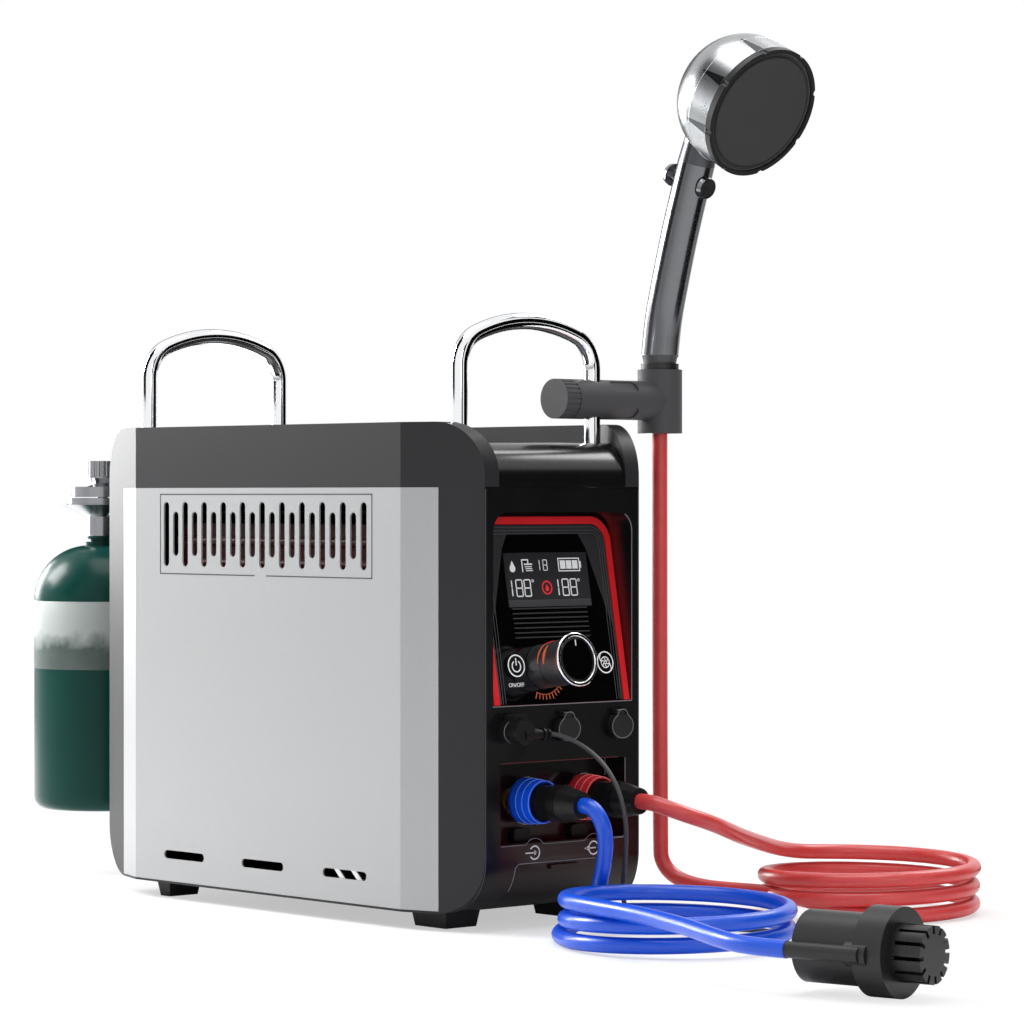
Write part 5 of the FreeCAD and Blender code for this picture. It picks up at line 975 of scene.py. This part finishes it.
# marks of painted glow round the knob
KNOB_GLOWS = (  # name, radius, from and to out of the panel, from and to in degrees
    ("knob_glow_rear", 13.96, 10.8, 12.2, 95.0, 178.0),
    ("knob_glow_front", 14.36, 16.2, 18.4, 128.0, 182.0),
    ("knob_glow_top", 14.36, 13.6, 15.2, 70.0, 118.0),
)
GLOW_STEPS, GLOW_SKIN = 24, 0.12
SCALE_START, SCALE_STEP, SCALE_MARKS = 247.0, 8.4, 11
SCALE_RING, SCALE_INNER, SCALE_OUTER, SCALE_LONG = 17.4, 18.2, 20.4, 21.2
CAPS = ((0.7, 5.2, "fuse_lid"), (46.9, 5.2, "dc_lid"), (-44.8, 4.05, CASE))  # x, rise, body
CAP_Z, CAP_HALF_WIDTH, CAP_HALF_HEIGHT = 124.5, 9.1, 7.6
TAB_Z, TAB_RADIUS = 130.6, 4.6
PRINT_LINE = 0.4


def digit(number, x, v, height):
    """Seven-segment strokes of one digit; x and v are its lower left corner."""
    half, width, line = height / 2, height * DIGIT_SHAPE, height * DIGIT_LINE
    ends = {
        "a": ((0, height), (width, height)), "b": ((width, half), (width, height)),
        "c": ((width, 0), (width, half)), "d": ((0, 0), (width, 0)), "e": ((0, 0), (0, half)),
        "f": ((0, half), (0, height)), "g": ((0, half), (width, half)),
    }
    runs = []
    for segment in SEGMENTS[number]:
        start, end = (Vector((x + px, v + py)) for px, py in ends[segment])
        trim = (end - start).normalized() * line * 0.8
        runs += stroke([start + trim, end - trim], line)
    return runs


def ring(x, v, radius, width, start=0.0, end=360.0, steps=32):
    """Outlines of a ring, or of a part of one from one angle to another."""
    return band(arc((x, v), radius, start, end, steps), width)


def drop_shape(x, v, size):
    """Outline of a falling drop."""
    round_part = arc((x, v + size * 0.32), size * 0.32, 160.0, 380.0, 20)
    return [(x, v + size)] + round_part


class HEATER_OT_panel(bpy.types.Operator):
    """Finishes the control panel, and adds the display's signs, borders, knob parts and prints"""

    bl_idname = "heater.panel"
    bl_label = "Control panel"

    def execute(self, context):
        dress(polished_abs("polished_abs_panel", "060607", 0.1, 0.35), "control_panel")
        dress(polished_abs("red_acrylic_trim", colours().trim, 0.2), "panel_trim")
        dress(tinted_acrylic("tinted_acrylic_window", "2a2a2c", "363638", 200.0, 236.0), "display_window")
        dress(chrome_plate("dark_chrome_knob", "8e8f93", 0.34), "temperature_knob")
        dress(polished_abs("polished_abs_button", "0c0c0d", 0.2, 0.3), "power_button", "pump_button")
        socket = textured_abs("textured_abs_socket", "121213", 0.6, 0.4)
        dress(socket, "power_sockets", "fuse_holder", "pump_plug")
        dress(moulded_rubber("rubber_caps", "0f0f10", 0.45), "fuse_cap", "dc_cap")
        self.borders()
        self.display()
        self.knob()
        self.buttons()
        self.cap_lines()
        return {"FINISHED"}

    def borders(self):
        """Matt borders between the gloss field and the trim, with their fine steps; the steps' edges and the
        ribs' crests are lighter lines of painted highlight.
        """
        matt = textured_abs("textured_abs_border", "29292b", 0.5, 0.5)
        right = BORDER_INNER + BORDER_OUTER
        printed("panel_borders", [right, mirrored(right), BORDER_TOP], on_panel(), matt)
        lines = []
        for index in range(STEPS_IN_TRIM):
            inset = STEP_INSET + index * sizes().rib_step / MM
            x, head, corner = TRIM_X - inset, TRIM_HEAD - inset, TRIM_CORNER - inset
            half = [(x, TRIM_FOOT)] + arc((x - corner, head - corner), corner, 0.0, 90.0, 8)
            lines += band(half + mirrored(half), STEP_LINE)
        # painted highlight on the edges of the trim's fine steps
        pale = screen_ink("bright_step_edges", "4a4a4d")
        printed("panel_step_lines", lines, on_panel(print_height()), pale)
        # painted highlight on the crests of the panel's ribs
        crest = screen_ink("painted_rib_crest_highlights", "2e2e30")
        printed("panel_rib_crests", RIBS, on_panel(RIB_HEIGHT), crest)

    def display(self):
        """Lit signs: a drop, a shower, a small reading, a battery, two readings and a red ring."""
        white = screen_ink("lit_segments_white", "e4e5e6", 0.15)
        signs = [drop_shape(-29.0, 83.6, 7.4)]
        signs += stroke(SHOWER_PIPE, 0.8) + stroke(SHOWER_HEAD, 0.9)
        for row in range(3):
            left, v = -18.0 + 0.3 * row, 87.0 - 1.25 * row
            signs += stroke([(left, v), (left + 5.2, v)], 0.55)
        for number, x in SMALL_DIGITS:
            signs += digit(number, x, 84.6, 6.6)
        signs += stroke(BATTERY, 0.7, closed=True) + stroke(BATTERY_TIP, 1.0) + BATTERY_CELLS
        for left in READINGS_X:
            for number, across in LARGE_DIGITS:
                signs += digit(number, left + across, 68.3, 10.4)
            signs += ring(left + DEGREE_X, 78.0, 0.8, PRINT_LINE, steps=10)
        printed("display_signs", signs, on_panel(WINDOW_RISE), white)
        red = screen_ink("lit_segments_red", "d0202a", 0.4)
        sign = ring(-1.4, 73.5, 4.0, 0.9, steps=28) + [drop_shape(-1.4, 71.2, 4.6)]
        printed("display_red_sign", sign, on_panel(WINDOW_RISE), red)
        grey = screen_ink("display_strip_ink", "3c3d3f")
        printed("display_foot_strip", [WINDOW_STRIP], on_panel(WINDOW_RISE), grey)

    def knob(self):
        """The knob's bright rim, black disc and pointer, its marks of painted glow, and the scale below it,
        orange print with the same painted glow.
        """
        centre = on_panel()(KNOB_X, KNOB_V, 0.0)
        made = revolved("knob_rim", KNOB_RIM, centre, PANEL_OUT)
        finished(soften(made, 0.15), chrome_plate("chrome_plate_rim", "eceef0", 0.06), "knob")
        made = revolved("knob_disc", KNOB_DISC, centre, PANEL_OUT)
        finished(made, polished_abs("polished_abs_disc", "050506", 0.1, 0.3), "knob")
        white = screen_ink("screen_ink_white", "ececee")
        pointer = stroke([(KNOB_X, KNOB_V + 9.0), (KNOB_X, KNOB_V + 12.0)], 0.8)
        printed("knob_pointer", pointer, on_panel(KNOB_TOP), white, "knob")
        # painted glow: orange and red marks that emit light round the knob, and on the scale's orange print
        emitter = screen_ink("painted_orange_glow", "c4603e", 0.35)
        glow = screen_ink("painted_red_glow", "d8281c", 0.9)
        for place, ink in zip(KNOB_GLOWS, (emitter, emitter, glow)):
            self.wrapped(*place, ink)
        scale = []
        for step in range(SCALE_MARKS):
            angle = math.radians(SCALE_START + SCALE_STEP * step)
            radii = (SCALE_INNER, SCALE_OUTER if step % 5 else SCALE_LONG)
            ends = [(KNOB_X + r * math.cos(angle), KNOB_V + r * math.sin(angle)) for r in radii]
            scale += stroke(ends, 0.55)
        scale += ring(KNOB_X, KNOB_V, SCALE_RING, PRINT_LINE, 245.0, 333.0, 30)
        printed("knob_scale", scale, on_panel(), emitter)

    def wrapped(self, name, radius, low, high, start, end, ink):
        """A mark of painted glow that wraps round part of the knob, between two distances from the panel."""
        vertices = []
        for step in range(GLOW_STEPS + 1):
            angle = math.radians(start + (end - start) * step / GLOW_STEPS)
            thin = 0.3 + 0.7 * math.sin(math.pi * step / GLOW_STEPS)
            middle, half = (low + high) / 2, (high - low) / 2 * thin
            for r in (radius, radius + GLOW_SKIN):
                for n in (middle - half, middle + half):
                    x, v = KNOB_X + r * math.cos(angle), KNOB_V + r * math.sin(angle)
                    vertices.append(on_panel()(x, v, n))
        made = mesh_object(name, vertices, bar_faces(0, GLOW_STEPS + 1))
        finished(made, ink, "knob")

    def buttons(self):
        """White rings and signs on the two buttons, and the word pair under the power button, in white print
        with a faint painted glow.
        """
        # painted glow: the white print emits a little light
        white = screen_ink("white_print_painted_glow", "f2f2f3", 0.15)
        for x, body in BUTTONS:
            signs = ring(x, BUTTON_V, BUTTON_RING, SIGN_LINE, steps=48)
            if body == "power_switch":
                signs += ring(x, BUTTON_V - 0.3, SIGN_RING, SIGN_LINE, 122.0, 418.0)
                signs += stroke([(x, BUTTON_V + 0.6), (x, BUTTON_V + 4.4)], SIGN_LINE)
            else:
                signs += self.fan(x)
            printed(body + "_signs", signs, on_panel(BUTTON_RISE), white, body)
        self.words(white)

    def fan(self, x):
        """The pump's sign: an impeller in its housing, with a pipe on each side."""
        runs = ring(x, BUTTON_V, SIGN_RING, 0.55) + ring(x, BUTTON_V, 1.0, FAN_LINE, steps=12)
        for blade in range(FAN_BLADES):
            points = []
            for radius in (1.2, 2.2, 3.2):
                angle = 2 * math.pi * blade / FAN_BLADES + FAN_TWIST * radius
                points.append((x + radius * math.cos(angle), BUTTON_V + radius * math.sin(angle)))
            runs += band(points, FAN_LINE)
        for pipe in FAN_PIPES:
            runs += band([(x + across, BUTTON_V + up) for across, up in pipe], 0.55)
        return runs

    def words(self, ink):
        """The words ON and OFF under the power button."""
        words = bpy.data.curves.new("on_off_words", "FONT")
        words.body = "ON/OFF"
        words.size = WORDS_SIZE
        words.align_x = "CENTER"
        words.extrude = print_height() / 2
        holder = bpy.data.objects.new("on_off_shape", words)
        bpy.context.scene.collection.objects.link(holder)
        flat = bpy.data.meshes.new_from_object(holder)
        bpy.data.objects.remove(holder)
        place = on_panel(print_height() / 2)
        for vertex in flat.vertices:
            x, up, out = vertex.co
            vertex.co = place(BUTTONS[0][0] + x, BUTTON_V - WORDS_DROP + up, out)
        made = bpy.data.objects.new("on_off_words", flat)
        bpy.context.scene.collection.objects.link(made)
        finished(made, ink)

    def cap_lines(self):
        """The painted highlight along the moulded edge of each socket cap: a disc with a tab above it."""
        # painted highlight on the caps' edges
        edge = screen_ink("cap_edge", "86878a")
        for x, rise, body in CAPS:
            disc = [(x + CAP_HALF_WIDTH * math.cos(angle), CAP_Z + CAP_HALF_HEIGHT * math.sin(angle))
                    for angle in map(math.radians, range(128, 412, 12))]
            tab = arc((x, TAB_Z), TAB_RADIUS, 10.0, 170.0, 12)
            runs = band(disc + tab + disc[:1], PRINT_LINE)
            printed(body + "_cap_line", runs, on_front(rise), edge, body)


# ---------------------------------------------------------------- water connections
ICONS = ((-24.5, 1), (26.1, -1))  # x, and 1 for water in or -1 for water out
ICON_Z = 48.0
# the edges' codes are lighter than the collars: painted highlights
COLLARS = ((-24.5, "blue", "5f8dff"), (24.5, "red", "ff7d7d"))  # x, colour, code of its edges
COLLAR_Z = 80.0
COLLAR_EDGES = ((14.3, 192.85), (13.9, 198.2), (13.3, 203.55))  # radius, and distance in front of the origin
COLLAR_BEAD = 0.28


class HEATER_OT_connections(bpy.types.Operator):
    """Finishes the water connections, and adds the collars' edges of painted highlight and the signs below
    the bay
    """

    bl_idname = "heater.connections"
    bl_label = "Water connections"

    def execute(self, context):
        dress(turned_metal("turned_brass", "c9a662"), "water_fittings", "water_pipes")
        dress(chrome_plate("chrome_plate_connectors", "eceef0", 0.08), "connector_bodies")
        dress(polished_abs("acetal_blue", "1256e6", 0.24), "inlet_collar")
        dress(polished_abs("acetal_red", "d63238", 0.24), "outlet_collar")
        dress(textured_abs("nylon_nuts", "0f0f10", 0.6, 0.34), "hose_nuts")
        dress(textured_abs("nylon_drain_plugs", "101011", 0.6, 0.36), *both_sides("drain_plug"))
        for x, colour, code in COLLARS:
            self.collar_edges(x, colour, screen_ink(colour + "_collar_edge", code))
        self.signs()
        return {"FINISHED"}

    def collar_edges(self, x, colour, ink):
        """Rounded edges between the collar's bands, lighter than the collar as a painted highlight."""
        for index, (radius, y) in enumerate(COLLAR_EDGES):
            centre = Vector((x, -y, COLLAR_Z)) * MM
            profile = bead(radius, 0.0, COLLAR_BEAD)
            made = revolved(f"{colour}_collar_edge_{index}", profile, centre, (0, -1, 0), 72)
            finished(made, ink, colour + "_collar")

    def signs(self):
        """Circle-and-arrow signs for water in and out, under a thin line that arches over them."""
        white = screen_ink("screen_ink_signs", "ededee")
        signs = []
        sill = [(-53.0, 53.2), (-33.5, 53.2)]
        for x, way in ICONS:
            start, end = (-145.0, 145.0) if way > 0 else (35.0, 325.0)
            signs += ring(x, ICON_Z, 4.1, 0.9, start, end)
            signs += stroke([(x - 7.4, ICON_Z), (x + 1.6, ICON_Z)], 0.7)
            point = x + 2.2 if way > 0 else x - 7.0
            back = point - 2.4 * way
            signs.append([(point, ICON_Z), (back, ICON_Z + 1.6), (back, ICON_Z - 1.6)])
            sill += arc((x, ICON_Z), 9.0, 144.0, 36.0, 14)
            sill += [(-15.0, 53.0), (17.0, 53.0)] if way > 0 else [(53.4, 53.0)]
        printed("water_signs", signs, on_front(), white)
        pale = screen_ink("screen_ink_pale", "76777a")
        printed("bay_sill_line", band(sill, PRINT_LINE), on_front(), pale)


# ---------------------------------------------------------------- gas side
CYLINDER_Y = 293.8
LABEL_BAND = [(49.02, 147.0), (49.16, 147.2), (49.16, 195.3), (49.02, 195.5)]


class HEATER_OT_gas(bpy.types.Operator):
    """Finishes the gas cylinder and its regulator, and adds the cylinder's plain label band"""

    bl_idname = "heater.gas"
    bl_label = "Cylinder and regulator"

    def execute(self, context):
        dress(stove_enamel("stove_enamel_green", colours().cylinder), "propane_cylinder")
        dress(chrome_plate("satin_steel_regulator", "9c9ea1", 0.2), "regulator_body", "regulator_knob")
        made = revolved("label_band", LABEL_BAND, (0.0, CYLINDER_Y * MM, 0.0), (0, 0, 1), 128)
        finished(made, paper_label("coated_paper_label", "9fa5a3", "45524e"), "cylinder")
        return {"FINISHED"}


# ---------------------------------------------------------------- shower
SPRAY_CENTRE = Vector((118.2, -250.3, 517.3))
SPRAY_IN = Vector((0.0, 0.886, 0.464)).normalized()
HEAD_REACH, NECK_TOP = 51.8, 500.0
HEAD_RADIUS, SKIRT_LENGTH = 43.0, 16.0
WEDGES, WEDGE_HALF_ANGLE, WEDGE_LENGTH = 8, 0.075, 24.0
WEDGE_STATIONS, WEDGE_LIFTS = (0.6, 4.0, 8.0, 12.0, 16.0, 19.0, 22.0), (-0.4, 0.16)
SEAM_STATION, SEAM_BEAD = 17.0, 0.2
# a painted shadow line and a painted highlight line on the spray plate
FACE_LINES = (  # name, radius, width, station, code
    ("face_shadow_line", 37.6, 0.6, -4.02, "0b0b0c"), ("face_highlight_line", 40.3, 0.35, -3.05, "77787b"),
)
FACE_LINE_DEPTH = 0.08


def dome_radius(station):
    """Radius of the head behind its rim, in millimetres."""
    past = max(station - SKIRT_LENGTH, 0.0)
    return HEAD_RADIUS - 0.0122 * past ** 2 - 0.04 * past


class HEATER_OT_shower(bpy.types.Operator):
    """Finishes the holder and the handset, and adds the head's grooves and seam and the plate's lines"""

    bl_idname = "heater.shower"
    bl_label = "Shower and holder"

    def execute(self, context):
        dress(textured_abs("textured_abs_holder", "48484a", 0.7, 0.5), "holder_body", "holder_knob")
        dress(handset_finish("black_chrome_handset", "77787b", "0d0d0e", "4a4b4d"), "handset_handle")
        plating = plated_head("chrome_plate_head", "a2a4a6", "58595c", SPRAY_CENTRE, HEAD_REACH, NECK_TOP)
        dress(plating, "shower_head")
        dress(textured_abs("textured_abs_face", "3a3a3b", 0.7, 0.45), "spray_face")
        dress(textured_abs("textured_abs_ring", "242425", 0.7, 0.4), "spray_ring")
        dress(chrome_plate("satin_chrome_pause", "8d8e91", 0.2), "pause_valve")
        self.grooves()
        self.seams()
        self.face_lines()
        return {"FINISHED"}

    def grooves(self):
        """Wedge-shaped grooves that start behind the ring's notches and run out on the dome, laid on it as
        dark chrome strips: painted shade.
        """
        across = Vector((1.0, 0.0, 0.0))
        up = SPRAY_IN.cross(across)
        vertices, faces = [], []
        for wedge in range(WEDGES):
            middle = 2 * math.pi * (wedge + 0.5) / WEDGES
            faces += bar_faces(len(vertices), len(WEDGE_STATIONS))
            for station in WEDGE_STATIONS:
                half = WEDGE_HALF_ANGLE * (1.0 - station / WEDGE_LENGTH)
                for lift in WEDGE_LIFTS:
                    radius = dome_radius(station) + lift
                    for angle in (middle - half, middle + half):
                        outward = across * math.cos(angle) + up * math.sin(angle)
                        vertices.append((SPRAY_CENTRE + SPRAY_IN * station + outward * radius) * MM)
        made = mesh_object("head_grooves", vertices, faces)
        # painted shade: dark chrome where the grooves fall into shade
        finished(made, chrome_plate("shaded_chrome_grooves", "5a5c60", 0.2), "handset")

    def seams(self):
        """The fine seam between the dome and its skirt, in chrome brighter than the dome's: a painted
        highlight.
        """
        profile = bead(dome_radius(SEAM_STATION), SEAM_STATION, SEAM_BEAD)
        made = revolved("dome_seam", profile, SPRAY_CENTRE * MM, SPRAY_IN)
        # painted highlight: the seam is brighter chrome than the head
        finished(made, chrome_plate("chrome_plate_seam", "f2f3f5", 0.05), "handset")

    def face_lines(self):
        """A black painted shadow line and a pale edge line of painted highlight on the spray plate."""
        for name, radius, width, station, code in FACE_LINES:
            outer, inner, front = radius + width / 2, radius - width / 2, station - FACE_LINE_DEPTH
            profile = [(inner, station), (inner, front), (outer, front), (outer, station), (inner, station)]
            made = revolved(name, profile, SPRAY_CENTRE * MM, SPRAY_IN)
            finished(made, screen_ink(name + "_ink", code), "handset")


# ---------------------------------------------------------------- pump and inner parts
class HEATER_OT_pump(bpy.types.Operator):
    """Finishes the pump and its strainer"""

    bl_idname = "heater.pump"
    bl_label = "Pump"

    def execute(self, context):
        dress(textured_abs("textured_abs_pump", "161617", 0.9, 0.38, 0.4), "pump_body", "pump_strainer")
        return {"FINISHED"}


class HEATER_OT_inside(bpy.types.Operator):
    """Finishes what the grille and the openings show of the inner parts"""

    bl_idname = "heater.inside"
    bl_label = "Inner parts"

    def execute(self, context):
        # the fins' red glow is painted, though there is no flame
        dress(copper_with_painted_glow("copper_fins_painted_glow", "2a0708", "c8202a"), "heat_exchanger")
        dress(raw_metal("blackened_sheet", "161618", 12.0, 0.6), "combustion_chamber", "burner")
        dress(raw_metal("cast_aluminium_valve", "b0b2b5", 4.0, 0.45), "gas_valve")
        dress(textured_abs("glass_filled_nylon", "202022"), "blower_impeller")
        dress(textured_abs("battery_wrap", "2f3033", 1.2, 0.4), "battery_pack")
        dress(textured_abs("fibreglass_board", "123a24", 0.5, 0.35), "circuit_boards")
        return {"FINISHED"}




# ---------------------------------------------------------------- add-on
STEPS = (
    HEATER_OT_stage, HEATER_OT_hoses, HEATER_OT_case, HEATER_OT_panel, HEATER_OT_connections, HEATER_OT_gas,
    HEATER_OT_shower, HEATER_OT_pump, HEATER_OT_inside,
)


class HEATER_PT_panel(bpy.types.Panel):
    """Lists the settings and the steps in the sidebar"""

    bl_idname = "HEATER_PT_panel"
    bl_label = "Portable water heater"
    bl_space_type = "VIEW_3D"
    bl_region_type = "UI"
    bl_category = "Heater"

    def draw(self, context):
        for group in (sizes(), colours()):
            box = self.layout.box()
            for name in group.__annotations__:
                box.prop(group, name)
        for step in STEPS:
            self.layout.operator(step.bl_idname)


CLASSES = (HeaterSizes, HeaterColours, *STEPS, HEATER_PT_panel)


def register():
    for kind in CLASSES:
        bpy.utils.register_class(kind)
    bpy.types.Scene.heater_sizes = bpy.props.PointerProperty(type=HeaterSizes)
    bpy.types.Scene.heater_colours = bpy.props.PointerProperty(type=HeaterColours)


def unregister():
    del bpy.types.Scene.heater_colours
    del bpy.types.Scene.heater_sizes
    for kind in reversed(CLASSES):
        bpy.utils.unregister_class(kind)


def main():
    """Builds the scene step by step."""
    register()
    for step in STEPS:
        group, name = step.bl_idname.split(".")
        getattr(getattr(bpy.ops, group), name)()


if __name__ == "__main__":
    main()
